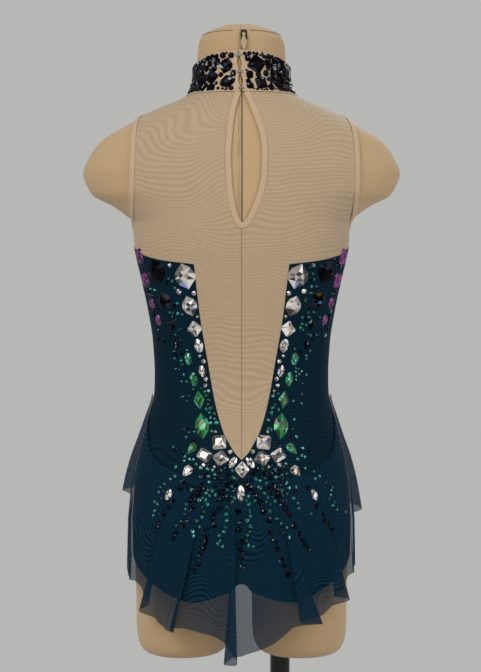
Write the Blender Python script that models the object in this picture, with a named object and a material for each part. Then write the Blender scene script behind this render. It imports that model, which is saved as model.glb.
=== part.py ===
"""Sleeveless leotard with a sheer skirt, worn by a child's dress form on a stand.

The back of the garment faces -Y, the front +Y, up is +Z, and the origin is on
the floor under the middle of the base. Sizes are in millimetres.
"""

import math

import bmesh
import bpy
from mathutils import Vector
from mathutils.geometry import delaunay_2d_cdt

MM = 0.001
WELD = 0.000002
NEAR = 1e-6
SAME_SPOT = 1e-4
SHARP = math.radians(35)
HALF_TURN = math.pi
QUARTER = math.pi / 2

# Body sections, one row a height: half width at the sides, depth of the back,
# depth of the front, and squareness (2 is an ellipse)
BODY_SECTIONS = [
    # height, half_width, back, front, squareness
    (404.0, 119.5, 102.0, 84.0, 2.40),
    (445.0, 116.2, 97.5, 84.0, 2.40),
    (470.0, 112.2, 90.5, 83.0, 2.40),
    (495.0, 106.0, 81.5, 81.0, 2.35),
    (517.0, 101.0, 75.5, 78.0, 2.30),
    (544.0, 95.0, 71.5, 74.0, 2.30),
    (562.0, 94.7, 71.0, 73.0, 2.30),
    (598.0, 96.6, 73.0, 77.0, 2.30),
    (634.0, 102.2, 77.5, 84.0, 2.35),
    (670.0, 110.0, 82.5, 91.0, 2.40),
    (705.0, 117.6, 86.5, 95.0, 2.45),
    (730.0, 119.4, 87.5, 96.0, 2.40),
    (741.0, 131.5, 87.0, 95.5, 2.25),
    (752.0, 147.5, 86.5, 94.5, 2.10),
    (760.0, 164.5, 86.0, 93.5, 2.00),
    (772.0, 173.0, 85.0, 92.0, 1.95),
    (786.0, 177.3, 83.5, 89.5, 1.95),
    (804.0, 170.2, 80.5, 84.5, 1.95),
    (822.0, 157.0, 76.0, 78.5, 1.95),
    (840.0, 127.0, 70.0, 71.5, 1.95),
    (849.0, 109.5, 66.0, 68.0, 1.95),
    (858.0, 89.0, 60.5, 64.0, 2.00),
    (866.0, 69.0, 55.5, 60.5, 2.00),
    (875.0, 55.0, 51.0, 57.0, 2.00),
    (893.0, 50.0, 48.0, 54.0, 2.00),
    (911.0, 49.3, 47.0, 53.0, 2.00),
    (930.0, 48.2, 46.0, 52.0, 2.00),
    (939.0, 44.5, 43.0, 48.5, 2.00),
    (945.0, 36.0, 35.5, 40.0, 2.00),
    (948.0, 27.0, 27.5, 31.0, 2.00),
]
HIP_LEVEL = 404.0
NECK_TOP = 948.0
FORM_COLUMNS = 40
FORM_STEP = 40.0
SIDE_CROWDING = 0.18
SOLVER_STEPS = 30
SOLVER_SHARE = 0.7
NORMAL_TURN = 0.02
NORMAL_HEIGHT = 0.6

# Legs of the form
THIGH_LEVEL = 300.0
THIGH_BOTTOM = 252.5
THIGH_CENTRE_X = 64.4
THIGH_CENTRE_Y = -4.0
THIGH_HALF_WIDTH = 52.6
THIGH_HALF_DEPTH = 68.0
CROTCH_DROP = 73.0
CROTCH_COLUMNS = 10
CROTCH_SQUARE = 2.3
CROTCH_CORNER = math.radians(40)
CORNER_SPREAD = math.radians(30)
LEG_NORMAL_TURN = 0.03
NORMAL_DOWN = 0.02
LEG_SPLITS = 24
SEAT_PULL = 105.0
INNER_PULL = 34.0
THIGH_PULL = 60.0
THIGH_ROUNDING = [
    # height above the bottom, share of the thigh's section
    (32.0, 1.0),
    (18.0, 0.975),
    (8.5, 0.915),
    (2.5, 0.80),
    (0.0, 0.64),
]

# Cloth
CLEARANCE = 1.4
CLOTH = 1.2
SEAM_GAP = 0.3
BINDING = 2.0
ARMHOLE_LIFT = 1.9
ARMHOLE_BINDING = 1.5
ARMHOLE_STEP = 12.0
BAND = 1.8
CLOTH_STEP = 17.0
CHART_RADIUS = 100.0
EDGE_STEP = 12.0
V_STEP = 20.0
FRONT_NECK_STEPS = 10
BACK_NECK_POINTS = (18.0, 30.0, 42.0)
SHOULDER_TOP_Z = 858.0
MITRE_LEAST = 0.35
GRID_CLEAR = 0.33
STONE_CLEAR = 1.15

# Upper edge of the teal back, from the side seam to the corner of the V
TEAL_TOP = [
    # distance from centre back, height
    (117.6, 706.5),
    (114.5, 700.0),
    (109.0, 695.0),
    (85.0, 687.0),
    (50.8, 681.9),
]
# Teal edge of the V opening, from its tip up to the corner
V_EDGE = [
    # height, distance from centre back
    (471.3, 0.0),
    (478.0, 6.7),
    (488.5, 13.2),
    (500.0, 19.1),
    (517.0, 24.5),
    (535.5, 28.9),
    (575.0, 35.8),
    (624.0, 44.0),
    (681.9, 50.8),
]
V_TIP_Z = 471.3
BUST_EDGE = [
    # share of a half turn from centre back, height
    (0.5, 706.5),
    (0.68, 716.0),
    (0.8, 716.0),
    (0.9, 710.0),
    (1.0, 698.0),
]

ARMHOLE_EDGE = [
    # height, distance from the middle of the body
    (730.5, 119.8),
    (741.0, 121.5),
    (757.0, 121.5),
    (779.0, 121.0),
    (804.0, 120.3),
    (830.0, 119.4),
    (842.0, 117.6),
    (847.0, 113.5),
]
ARMHOLE_BINDING_EDGE = [
    # height, distance from the middle of the body
    (724.0, 119.2),
    (732.0, 116.8),
    (742.0, 116.0),
    (757.0, 115.8),
    (779.0, 115.4),
    (804.0, 114.7),
    (830.0, 113.6),
    (843.0, 111.4),
    (850.5, 106.5),
]
RIGHT_ARMHOLE_EDGE = [
    # height, distance from the middle of the body
    (730.5, 120.2),
    (741.0, 124.8),
    (757.0, 127.2),
    (779.0, 128.4),
    (804.0, 128.0),
    (830.0, 125.4),
    (842.0, 121.8),
    (847.0, 115.5),
]
RIGHT_ARMHOLE_BINDING_EDGE = [
    # height, distance from the middle of the body
    (724.0, 119.2),
    (732.0, 118.2),
    (742.0, 119.4),
    (757.0, 121.4),
    (779.0, 122.8),
    (804.0, 122.4),
    (830.0, 119.6),
    (843.0, 115.4),
    (850.5, 107.8),
]

# Teardrop opening of the upper back
KEYHOLE_LEAN = [
    # height, shift of the opening toward +X
    (718.4, 0.6),
    (740.0, 2.6),
    (775.0, 5.2),
    (812.0, 5.4),
    (845.0, 2.6),
    (869.4, 0.8),
]
KEYHOLE_EDGE = [
    # height, distance from centre back
    (725.6, 0.0),
    (727.5, 2.6),
    (735.0, 6.4),
    (750.0, 11.2),
    (775.0, 15.4),
    (800.0, 16.3),
    (825.0, 14.0),
    (845.0, 9.4),
    (860.0, 4.6),
    (869.4, 1.2),
]
KEYHOLE_BINDING_EDGE = [
    # height, distance from centre back
    (718.4, 0.0),
    (720.5, 4.4),
    (731.0, 11.4),
    (750.0, 17.8),
    (775.0, 22.4),
    (800.0, 23.4),
    (825.0, 21.0),
    (845.0, 16.4),
    (860.0, 11.6),
    (869.4, 8.2),
]

# Collar
NECKLINE_Z = 869.6
COLLAR_BOTTOM = 870.0
COLLAR_TOP_SIDE = 907.0
COLLAR_TOP_RISE = 10.0
COLLAR_OPENING = 0.8
COLLAR_BULGE = 1.8
COLLAR_BARE_EDGE = 0.24
COLLAR_STONE_ROWS = 2
COLLAR_STONES_PER_ROW = 16
COLLAR_STONE_WIDTH = 15.0
COLLAR_STONE_SHARE = 0.84
COLLAR_STONE_RISE = 0.15
COLLAR_STONE_TILT = 18.0
COLLAR_TILT_STEP = 2.1
COLLAR_EDGE_STEPS = 12
COLLAR_COLUMNS = 36
SLIT_LEAN = 3.4

CLOSURE_LEVELS = [
    # name, height
    ("closure_bottom", 873.5),
    ("closure_middle", 893.0),
    ("closure_top", 911.5),
]
CLOSURE_WIDTH = 5.6
CLOSURE_HEIGHT = 3.0
CLOSURE_THICK = 1.2

# Lower edge of the brief, by direction round the thigh: 0 is the back, 90 the
# outer side, 180 the front and 270 the inner side
LEG_LINE = [
    # direction, height
    (-90.0, 326.0),
    (-60.0, 325.0),
    (-30.0, 320.0),
    (-12.0, 318.0),
    (5.0, 322.5),
    (28.0, 335.5),
    (60.0, 355.0),
    (90.0, 366.0),
    (120.0, 368.0),
    (155.0, 356.0),
    (190.0, 341.0),
    (230.0, 330.0),
    (270.0, 326.0),
]
LEG_CLOTH_ROWS = 4
BARE_LEG_ROWS = 2

# Set stones of the back, mirrored to the other side: their place on the back,
# size, tilt and number of sides
STONES = [
    # from_centre, height, width, length, tilt, sides
    (63.0, 668.0, 23.0, 26.0, 8.0, 8),
    (58.2, 637.0, 18.0, 21.0, 10.0, 4),
    (53.4, 613.2, 17.0, 17.0, 12.0, 4),
    (47.8, 594.0, 9.0, 13.0, 14.0, 6),
    (94.4, 674.0, 21.0, 26.0, -16.0, 4),
    (84.9, 643.2, 15.0, 19.0, -12.0, 4),
    (76.8, 616.8, 9.0, 12.0, -10.0, 4),
    (112.0, 686.5, 9.0, 12.0, -12.0, 6),
    (105.0, 664.5, 9.0, 14.0, -12.0, 6),
    (97.4, 641.9, 7.5, 12.0, -12.0, 6),
    (58.2, 580.4, 7.5, 13.0, 10.0, 6),
    (52.3, 557.0, 8.5, 13.0, 10.0, 6),
    (47.5, 535.0, 10.0, 18.0, 8.0, 6),
    (43.0, 507.5, 16.0, 27.0, 6.0, 8),
    (56.5, 487.5, 11.0, 15.0, -30.0, 6),
    (27.4, 491.5, 19.0, 19.0, 40.0, 4),
    (42.6, 477.0, 18.0, 15.0, 25.0, 4),
    (22.6, 471.0, 18.0, 18.0, 15.0, 4),
]
CENTRE_STONE = (0.0, 461.0, 14.0, 18.0, 0.0, 4)
STONE_RISE = 0.16
STONE_TABLE = 0.6

# Skirt
SKIRT_SEAM = [
    # direction from centre back, height
    (0.0, 449.0),
    (20.0, 452.0),
    (38.0, 464.0),
    (55.0, 484.0),
    (72.0, 516.0),
    (90.0, 540.0),
    (115.0, 530.0),
    (145.0, 508.0),
    (180.0, 498.0),
]
SKIRT_HEM = [
    # direction at the hem, height
    (-180.0, 432.0),
    (-150.0, 436.0),
    (-118.0, 435.0),
    (-99.0, 430.0),
    (-91.0, 416.0),
    (-84.0, 362.0),
    (-77.0, 344.0),
    (-68.0, 339.0),
    (-56.0, 338.0),
    (-47.5, 333.0),
    (-44.5, 318.0),
    (-41.0, 308.0),
    (-35.0, 297.0),
    (-29.0, 290.0),
    (-25.0, 294.0),
    (-16.0, 290.0),
    (-8.5, 283.0),
    (-6.8, 266.0),
    (-5.0, 257.5),
    (-2.4, 258.5),
    (-1.0, 264.5),
    (9.0, 274.0),
    (17.0, 287.0),
    (22.5, 297.0),
    (27.5, 298.5),
    (33.5, 305.0),
    (41.0, 316.0),
    (48.0, 326.0),
    (54.0, 342.0),
    (66.0, 348.0),
    (77.0, 352.0),
    (84.0, 372.0),
    (92.0, 402.0),
    (101.0, 410.0),
    (118.0, 424.0),
    (150.0, 436.0),
    (180.0, 432.0),
]
# The folds fan out from the tip of the V
SKIRT_FAN = [
    # direction at the hem, direction at the seam
    (-180.0, -180.0),
    (-100.0, -97.0),
    (-80.0, -74.0),
    (-42.0, -27.0),
    (-29.0, -15.0),
    (-4.3, -2.6),
    (12.0, 5.0),
    (27.0, 13.0),
    (43.0, 28.0),
    (80.0, 74.0),
    (100.0, 97.0),
    (180.0, 180.0),
]
SKIRT_FOLDS = [
    # direction at the hem, width, depth, overlap, start
    (-170.0, 30.0, 9.0, 3.0, 0.10),
    (-146.0, 34.0, 11.0, 4.0, 0.05),
    (-122.0, 30.0, 12.0, 3.0, 0.08),
    (-101.0, 26.0, 12.0, 2.0, 0.05),
    (-79.0, 20.0, 2.5, 2.0, 0.10),
    (-60.0, 18.0, 3.5, 1.0, 0.25),
    (-41.0, 18.0, 5.0, 3.0, 0.12),
    (-29.0, 11.0, 6.0, 1.5, 0.20),
    (-4.3, 15.0, 8.0, 2.2, 0.08),
    (13.0, 18.0, 3.0, 0.0, 0.40),
    (27.0, 24.0, 8.0, 3.5, 0.08),
    (43.0, 16.0, 7.0, 2.5, 0.15),
    (61.0, 18.0, 3.5, 1.0, 0.30),
    (79.0, 20.0, 1.2, 2.0, 0.10),
    (101.0, 26.0, 12.0, 2.0, 0.05),
    (124.0, 30.0, 11.0, 3.0, 0.08),
    (150.0, 34.0, 10.0, 4.0, 0.05),
    (172.0, 22.0, 8.0, 2.0, 0.10),
]
FOLD_GROWTH = 0.95
SKIRT_CLOTH = 1.0
SKIRT_GAP = 1.5
SKIRT_FLARE_BACK = 7.0
SKIRT_FLARE_SIDE = 1.0
SKIRT_ROWS = 6
FOLD_STEPS = 6
SKIRT_STEP = math.radians(9)
SKIRT_RADIUS = 112.0
SKIRT_NORMAL_TURN = 0.008

# Stand and the form's cover
POLE_X = 43.0
POLE_RADIUS = 11.0
BASE_RADIUS = 160.0
BASE_THICK = 8.0
ROUND_SIDES = 40
NECK_CAP_ROWS = [
    # height above the neck, share of the neck's top section
    (0.3, 0.97),
    (1.7, 0.88),
    (2.4, 0.50),
    (2.7, 0.12),
]
ZIP_X = 2.5
SLIDER_BOTTOM = 928.0
SLIDER_TOP = 939.0
SLIDER_WIDTH = 7.0
SLIDER_THICK = 1.8
SLIDER_LIFT = 0.6
BAIL_Y = -50.5
BAIL_Z = 934.0
BAIL_RADIUS = 0.7
BAIL_SPAN = 3.9
POST_WIDTH = 1.3
POST_HALF_HEIGHT = 1.2
BAIL_SIDES = 8
EYE_SIDES = 16
POST_INNER_Y = -46.6
POST_OUTER_Y = -51.5
EYE_HOLE = 1.2
EYE_RADIUS = 2.1
EYE_WIDTH = 3.1
PULL_THICK = 1.1
PULL_OUTLINE = [
    # distance below the bail, half width
    (1.4, 1.4),
    (4.0, 2.0),
    (7.0, 3.1),
    (10.0, 3.1),
    (13.5, 2.0),
    (16.4, 0.7),
]


def clear_scene():
    for thing in list(bpy.data.objects):
        bpy.data.objects.remove(thing, do_unlink=True)


def material(name, colour, roughness, metallic=0.0):
    made = bpy.data.materials.new(name)
    made.use_nodes = True
    shader = made.node_tree.nodes["Principled BSDF"]
    shader.inputs["Base Color"].default_value = (*colour, 1.0)
    shader.inputs["Roughness"].default_value = roughness
    shader.inputs["Metallic"].default_value = metallic
    return made


def add_object(name, mesh_parts, finish, smooth=True):
    """Make one closed object from its points and faces, in millimetres."""
    points, faces = mesh_parts
    mesh = bpy.data.meshes.new(name)
    mesh.from_pydata([tuple(point * MM) for point in points], [], faces)
    work = bmesh.new()
    work.from_mesh(mesh)
    bmesh.ops.remove_doubles(work, verts=work.verts, dist=WELD)
    bmesh.ops.recalc_face_normals(work, faces=work.faces)
    work.to_mesh(mesh)
    work.free()
    mesh.materials.append(finish)
    if smooth:
        mesh.shade_smooth()
        mesh.set_sharp_from_angle(angle=SHARP)
    made = bpy.data.objects.new(name, mesh)
    bpy.context.collection.objects.link(made)
    return made


def signed_power(value, power):
    return math.copysign(abs(value) ** power, value)


def curve_through(rows, column):
    """A smooth, never overshooting curve through one column of a table."""
    places = [row[0] for row in rows]
    values = [row[column] for row in rows]
    last = len(rows) - 1
    slopes = [(values[i + 1] - values[i]) / (places[i + 1] - places[i]) for i in range(last)]
    tangents = [slopes[0]] + [0.0] * (last - 1) + [slopes[-1]]
    for i in range(1, last):
        if slopes[i - 1] * slopes[i] > 0.0:
            tangents[i] = 2.0 * slopes[i - 1] * slopes[i] / (slopes[i - 1] + slopes[i])

    def value_at(place):
        if place <= places[0]:
            return values[0]
        if place >= places[-1]:
            return values[-1]
        i = max(k for k in range(last) if places[k] <= place)
        span = places[i + 1] - places[i]
        s = (place - places[i]) / span
        rise = values[i + 1] - values[i]
        start = span * tangents[i]
        end = span * tangents[i + 1]
        return values[i] + s * (start + s * (3 * rise - 2 * start - end + s * (start + end - 2 * rise)))

    return value_at


section_width = curve_through(BODY_SECTIONS, 1)
section_back = curve_through(BODY_SECTIONS, 2)
section_front = curve_through(BODY_SECTIONS, 3)
section_square = curve_through(BODY_SECTIONS, 4)
keyhole_lean = curve_through(KEYHOLE_LEAN, 1)
leg_line = curve_through(LEG_LINE, 1)
skirt_seam = curve_through(SKIRT_SEAM, 1)
skirt_hem = curve_through(SKIRT_HEM, 1)
skirt_fan = curve_through(SKIRT_FAN, 1)


def oval(direction, across, along, square):
    """Distance from the middle to a rounded outline, in a direction."""
    first = abs(math.sin(direction)) / across
    second = abs(math.cos(direction)) / along
    return (first ** square + second ** square) ** (-1.0 / square)


def body_point(turn, height):
    """Point of the torso: turn is 0 at centre back and a quarter at the +X side."""
    direction = turn + SIDE_CROWDING * math.sin(2.0 * turn)
    depth = section_back(height) if math.cos(direction) > 0 else section_front(height)
    reach = oval(direction, section_width(height), depth, section_square(height))
    return Vector((reach * math.sin(direction), -reach * math.cos(direction), height))


def turn_at(x, height):
    """Turn of the back point that lies x from the middle of the body."""
    square = section_square(height)
    share = min(abs(x) / section_width(height), 1.0)
    depth = section_back(height) * (1.0 - share ** square) ** (1.0 / square)
    direction = math.atan2(abs(x), depth)
    turn = direction
    for _ in range(SOLVER_STEPS):
        turn -= (turn + SIDE_CROWDING * math.sin(2.0 * turn) - direction) * SOLVER_SHARE
    return math.copysign(turn, x)


def body_lifted(turn, height, lift):
    """Point of the torso moved out along its normal."""
    across = body_point(turn + NORMAL_TURN, height) - body_point(turn - NORMAL_TURN, height)
    along = body_point(turn, height + NORMAL_HEIGHT) - body_point(turn, height - NORMAL_HEIGHT)
    return body_point(turn, height) + across.cross(along).normalized() * lift


def leg_top(turn):
    """Top loop of a leg: the outer half of the hip section, then the crotch curve."""
    if turn >= 0.0:
        return body_point(turn, HIP_LEVEL)
    depth = section_back(HIP_LEVEL) if math.cos(turn) > 0 else section_front(HIP_LEVEL)
    reach = oval(turn, CROTCH_DROP, depth, CROTCH_SQUARE)
    return Vector((0.0, -reach * math.cos(turn), HIP_LEVEL + reach * math.sin(turn)))


def thigh_direction(turn):
    """Direction round the thigh that a column of the leg runs down to."""
    if turn >= 0.0:
        return -CROTCH_CORNER + turn * (HALF_TURN + 2 * CROTCH_CORNER) / HALF_TURN
    return -QUARTER + (turn + QUARTER) * (QUARTER - CROTCH_CORNER) / QUARTER


def leg_point(turn, down):
    """Point of the +X leg: down is 0 at the top loop and 1 at the thigh."""
    if turn > HALF_TURN + NEAR:
        turn -= 2 * HALF_TURN
    start = leg_top(turn)
    direction = thigh_direction(turn)
    end = Vector((
        THIGH_CENTRE_X + THIGH_HALF_WIDTH * math.sin(direction),
        THIGH_CENTRE_Y - THIGH_HALF_DEPTH * math.cos(direction),
        THIGH_LEVEL,
    ))
    near_corner = min(abs(turn), abs(HALF_TURN - abs(turn))) / CORNER_SPREAD
    inner = 0.5 - 0.5 * math.copysign(min(near_corner, 1.0), turn)
    if abs(turn) > HALF_TURN - NEAR:
        inner = 0.5
    heading = Vector((inner, 0.0, inner - 1.0)).normalized()
    pull = INNER_PULL * inner + SEAT_PULL * (1.0 - inner)
    leave = heading * pull
    arrive = Vector((0.0, 0.0, -THIGH_PULL))
    s2 = down * down
    s3 = s2 * down
    return (
        start * (2 * s3 - 3 * s2 + 1)
        + leave * (s3 - 2 * s2 + down)
        + end * (3 * s2 - 2 * s3)
        + arrive * (s3 - s2)
    )


def leg_lifted(turn, down, lift):
    """Point of a leg moved out along its normal."""
    above = max(down - NORMAL_DOWN, 0.0)
    across = leg_point(turn + LEG_NORMAL_TURN, down) - leg_point(turn - LEG_NORMAL_TURN, down)
    along = leg_point(turn, above) - leg_point(turn, down + NORMAL_DOWN)
    return leg_point(turn, down) + across.cross(along).normalized() * lift


def leg_turns(columns):
    """Columns of a leg: the hip section's own columns, then the crotch curve's."""
    outer = [HALF_TURN * i / (columns // 2) for i in range(columns // 2 + 1)]
    inner = [-HALF_TURN * i / CROTCH_COLUMNS for i in range(1, CROTCH_COLUMNS)]
    return outer, inner


def join_rings(faces, first, second, count):
    for i in range(count):
        k = (i + 1) % count
        faces.append((first + i, first + k, second + k, second + i))


def mirrored_point(point, side):
    return Vector((point.x * side, point.y, point.z))


def form_heights():
    """Heights of the torso's rings: the table's own rows, split where far apart."""
    heights = []
    for low, high in zip(BODY_SECTIONS, BODY_SECTIONS[1:]):
        pieces = max(1, math.ceil((high[0] - low[0]) / FORM_STEP))
        heights += [low[0] + (high[0] - low[0]) * i / pieces for i in range(pieces)]
    return heights + [NECK_TOP]


def build_dress_form(finish):
    points = []
    faces = []
    heights = form_heights()
    for height in heights:
        for i in range(FORM_COLUMNS):
            points.append(body_point(2 * HALF_TURN * i / FORM_COLUMNS, height))
    for row in range(len(heights) - 1):
        join_rings(faces, row * FORM_COLUMNS, (row + 1) * FORM_COLUMNS, FORM_COLUMNS)
    top = (len(heights) - 1) * FORM_COLUMNS
    faces.append(tuple(range(top, top + FORM_COLUMNS)))

    outer, inner = leg_turns(FORM_COLUMNS)
    loop = outer + inner[::-1]
    shares = [leg_line_share(turn) for turn in loop]
    for side in (1, -1):
        starts = []
        for row in range(LEG_CLOTH_ROWS + BARE_LEG_ROWS + 1):
            starts.append(len(points))
            bare = max(row - LEG_CLOTH_ROWS, 0) / BARE_LEG_ROWS
            covered = min(row / LEG_CLOTH_ROWS, 1.0)
            for turn, share in zip(loop, shares):
                down = share * covered + (1.0 - share) * bare
                points.append(mirrored_point(leg_point(turn, down), side))
        for above_bottom, share in THIGH_ROUNDING:
            starts.append(len(points))
            for turn in loop:
                direction = thigh_direction(turn)
                points.append(Vector((
                    side * (THIGH_CENTRE_X + THIGH_HALF_WIDTH * share * math.sin(direction)),
                    THIGH_CENTRE_Y - THIGH_HALF_DEPTH * share * math.cos(direction),
                    THIGH_BOTTOM + above_bottom,
                )))
        for first, second in zip(starts, starts[1:]):
            join_rings(faces, first, second, len(loop))
        faces.append(tuple(range(starts[-1], starts[-1] + len(loop))))
    add_object("dress_form", (points, faces), finish)


def shrink_loop(loop, amount):
    """Move a closed chart outline inward by a seam's half gap."""
    area = sum(a.x * b.y - b.x * a.y for a, b in zip(loop, loop[1:] + loop[:1]))
    sense = 1.0 if area > 0 else -1.0
    moved = []
    for i, here in enumerate(loop):
        before = (here - loop[i - 1]).normalized()
        after = (loop[(i + 1) % len(loop)] - here).normalized()
        first = Vector((-before.y, before.x)) * sense
        second = Vector((-after.y, after.x)) * sense
        middle = first + second
        spread = max(middle.length_squared / 2.0, MITRE_LEAST)
        moved.append(here + middle * (amount / spread))
    return moved


def divided(loop, step):
    """Put points on the long sides of an outline."""
    made = []
    for here, there in zip(loop, loop[1:] + loop[:1]):
        pieces = max(1, math.ceil((there - here).length / step))
        made += [here.lerp(there, i / pieces) for i in range(pieces)]
    return made


def middle_of(corners):
    return sum(p.x for p in corners) / len(corners), sum(p.y for p in corners) / len(corners)


def inside(x, y, loops):
    crossed = False
    for loop in loops:
        for a, b in zip(loop, loop[1:] + loop[:1]):
            if (a.y > y) != (b.y > y):
                if x < a.x + (y - a.y) * (b.x - a.x) / (b.y - a.y):
                    crossed = not crossed
    return crossed


def distance_to_loops(point, loops):
    nearest = math.inf
    for loop in loops:
        for a, b in zip(loop, loop[1:] + loop[:1]):
            along = b - a
            s = max(0.0, min(1.0, (point - a).dot(along) / along.length_squared))
            nearest = min(nearest, (point - a - along * s).length)
    return nearest


def chart(turn, height):
    return Vector((turn * CHART_RADIUS, height))


def grid_points(loops, step):
    """Points inside an outline, on the columns and rows that the form uses."""
    columns = 2 * HALF_TURN / FORM_COLUMNS * CHART_RADIUS
    xs = [p.x for loop in loops for p in loop]
    ys = [p.y for loop in loops for p in loop]
    rows = [h for h in form_heights() if min(ys) < h < max(ys)]
    made = []
    for i in range(math.floor(min(xs) / columns), math.ceil(max(xs) / columns) + 1):
        for height in rows:
            spot = Vector((i * columns, height))
            if inside(spot.x, spot.y, loops) and distance_to_loops(spot, loops) > step * GRID_CLEAR:
                made.append(spot)
    return made


def triangulate(loops, extra_points, extra_loops):
    """Triangles that fill an outline, through its own and the extra points."""
    points = []
    edges = []
    for loop in loops + extra_loops:
        start = len(points)
        points += loop
        edges += [(start + i, start + (i + 1) % len(loop)) for i in range(len(loop))]
    points += extra_points
    result = delaunay_2d_cdt(points, edges, [], 0, SAME_SPOT)
    places = [Vector((p.x, p.y)) for p in result[0]]
    triangles = []
    for face in result[2]:
        if inside(*middle_of([places[i] for i in face]), loops):
            triangles.append(tuple(face))
    return places, triangles


class Stone:
    """A set stone: an outline with a raised flat top, in a panel's chart."""

    def __init__(self, middle, width, length, tilt, sides, rise):
        here = body_point(middle.x / CHART_RADIUS, middle.y)
        beside = body_point(middle.x / CHART_RADIUS + NORMAL_TURN, middle.y)
        self.middle = middle
        self.stretch = CHART_RADIUS * NORMAL_TURN / (beside - here).length
        self.half = Vector((width / 2, length / 2))
        self.tilt = math.radians(tilt)
        self.sides = sides
        self.rise = rise * min(width, length)

    def outline(self, share):
        made = []
        for i in range(self.sides):
            angle = 2 * HALF_TURN * i / self.sides
            p = Vector((self.half.x * math.sin(angle), self.half.y * math.cos(angle))) * share
            turned = Vector((
                p.x * math.cos(self.tilt) + p.y * math.sin(self.tilt),
                p.y * math.cos(self.tilt) - p.x * math.sin(self.tilt),
            ))
            made.append(self.middle + Vector((turned.x * self.stretch, turned.y)))
        return made

    def rise_at(self, spot):
        """Height of the stone over a spot of the chart, nothing outside it."""
        base = self.outline(1.0)
        reach = 0.0
        for a, b in zip(base, base[1:] + base[:1]):
            edge = b - a
            out = Vector((edge.y, -edge.x))
            if out.dot(a - self.middle) < 0:
                out = -out
            reach = max(reach, out.dot(spot - self.middle) / out.dot(a - self.middle))
        return self.rise * max(0.0, min(1.0, (1.0 - reach) / (1.0 - STONE_TABLE)))


def panel(loops, thick, lift=CLEARANCE, stones=(), step=CLOTH_STEP):
    """A closed wall over the torso, inside chart outlines, with raised stones."""
    loops = [divided(loop, step) for loop in loops]
    plain = triangulate(loops, grid_points(loops, step), [])
    extra_loops = [stone.outline(share) for stone in stones for share in (1.0, STONE_TABLE)]
    spots = [
        spot for spot in grid_points(loops, step)
        if all((spot - stone.middle).length > max(stone.half) * STONE_CLEAR for stone in stones)
    ]
    raised = triangulate(loops, spots, extra_loops) if stones else plain
    points = []
    faces = []
    for outer, (places, triangles) in ((False, plain), (True, raised)):
        start = len(points)
        for spot in places:
            up = max([stone.rise_at(spot) for stone in stones], default=0.0) if outer else 0.0
            out = lift + (thick + up if outer else 0.0)
            points.append(body_lifted(spot.x / CHART_RADIUS, spot.y, out))
        faces += [tuple(start + i for i in (tri if outer else tri[::-1])) for tri in triangles]
    for loop in loops:
        start = len(points)
        for spot in loop:
            points.append(body_lifted(spot.x / CHART_RADIUS, spot.y, lift))
            points.append(body_lifted(spot.x / CHART_RADIUS, spot.y, lift + thick))
        for i in range(len(loop)):
            k = (i + 1) % len(loop)
            if max(loop[i].y, loop[k].y) > HIP_LEVEL + NEAR:
                faces.append((start + 2 * i, start + 2 * k, start + 2 * k + 1, start + 2 * i + 1))
    return points, faces


def samples(rows, most):
    """Heights along a table, no further apart than most."""
    made = []
    for low, high in zip(rows, rows[1:]):
        pieces = max(1, math.ceil((high[0] - low[0]) / most))
        made += [low[0] + (high[0] - low[0]) * i / pieces for i in range(pieces)]
    return made + [rows[-1][0]]


def edge_curve(rows, most=EDGE_STEP, lean=0.0):
    """Chart points of an edge that a table gives, from its bottom to its top."""
    edge = curve_through(rows, 1)
    made = []
    for height in samples(rows, most):
        x = edge(height) + lean * keyhole_lean(height)
        made.append(chart(turn_at(x, height), height))
    return made


def mirrored(loop):
    return [Vector((-p.x, p.y)) for p in reversed(loop)]


def over_to_front(curve):
    """The same edge on the front, by mirroring it in the side seam."""
    return [Vector((HALF_TURN * CHART_RADIUS - p.x, p.y)) for p in curve]


def armhole_curve(rows):
    """Back half of an armhole's outline, its ends on the side line."""
    curve = edge_curve(rows)
    curve[0].x = QUARTER * CHART_RADIUS
    curve[-1].x = QUARTER * CHART_RADIUS
    return curve


def teal_back_edge():
    """Upper edge of the teal back: side seam to corner, then down to the V tip."""
    top = [chart(turn_at(x, height), height) for x, height in TEAL_TOP[:-1]]
    top[0].x = QUARTER * CHART_RADIUS
    return top + edge_curve(V_EDGE, V_STEP)[::-1]


def back_mesh_outline(armhole_rows, lean):
    """Outline of a half of the back's mesh, as the right half."""
    keyhole = edge_curve(KEYHOLE_BINDING_EDGE, lean=lean)
    keyhole[0].x = 0.0
    neck = [chart(turn_at(x, NECKLINE_Z), NECKLINE_Z) for x in BACK_NECK_POINTS]
    shoulder = [chart(QUARTER, NECKLINE_Z), chart(QUARTER, SHOULDER_TOP_Z)]
    seam = [chart(0.0, V_TIP_Z)]
    armhole = armhole_curve(armhole_rows)[::-1]
    half = seam + keyhole + neck + shoulder + armhole + teal_back_edge()[:-1]
    return shrink_loop(half, SEAM_GAP / 2)


def build_back_mesh(finish):
    right = back_mesh_outline(RIGHT_ARMHOLE_BINDING_EDGE, 1.0)
    left = back_mesh_outline(ARMHOLE_BINDING_EDGE, -1.0)
    add_object("back_mesh_right", panel([right], CLOTH), finish)
    add_object("back_mesh_left", panel([mirrored(left)], CLOTH), finish)


def bust_line():
    """Top edge of the teal front, from one side seam to the other."""
    half = [chart(HALF_TURN * share, height) for share, height in BUST_EDGE]
    return half + to_other_side(half)[1:]


def to_other_side(curve):
    """An edge of the front, mirrored to its other side."""
    return [Vector((2 * HALF_TURN * CHART_RADIUS - p.x, p.y)) for p in reversed(curve)]


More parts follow.
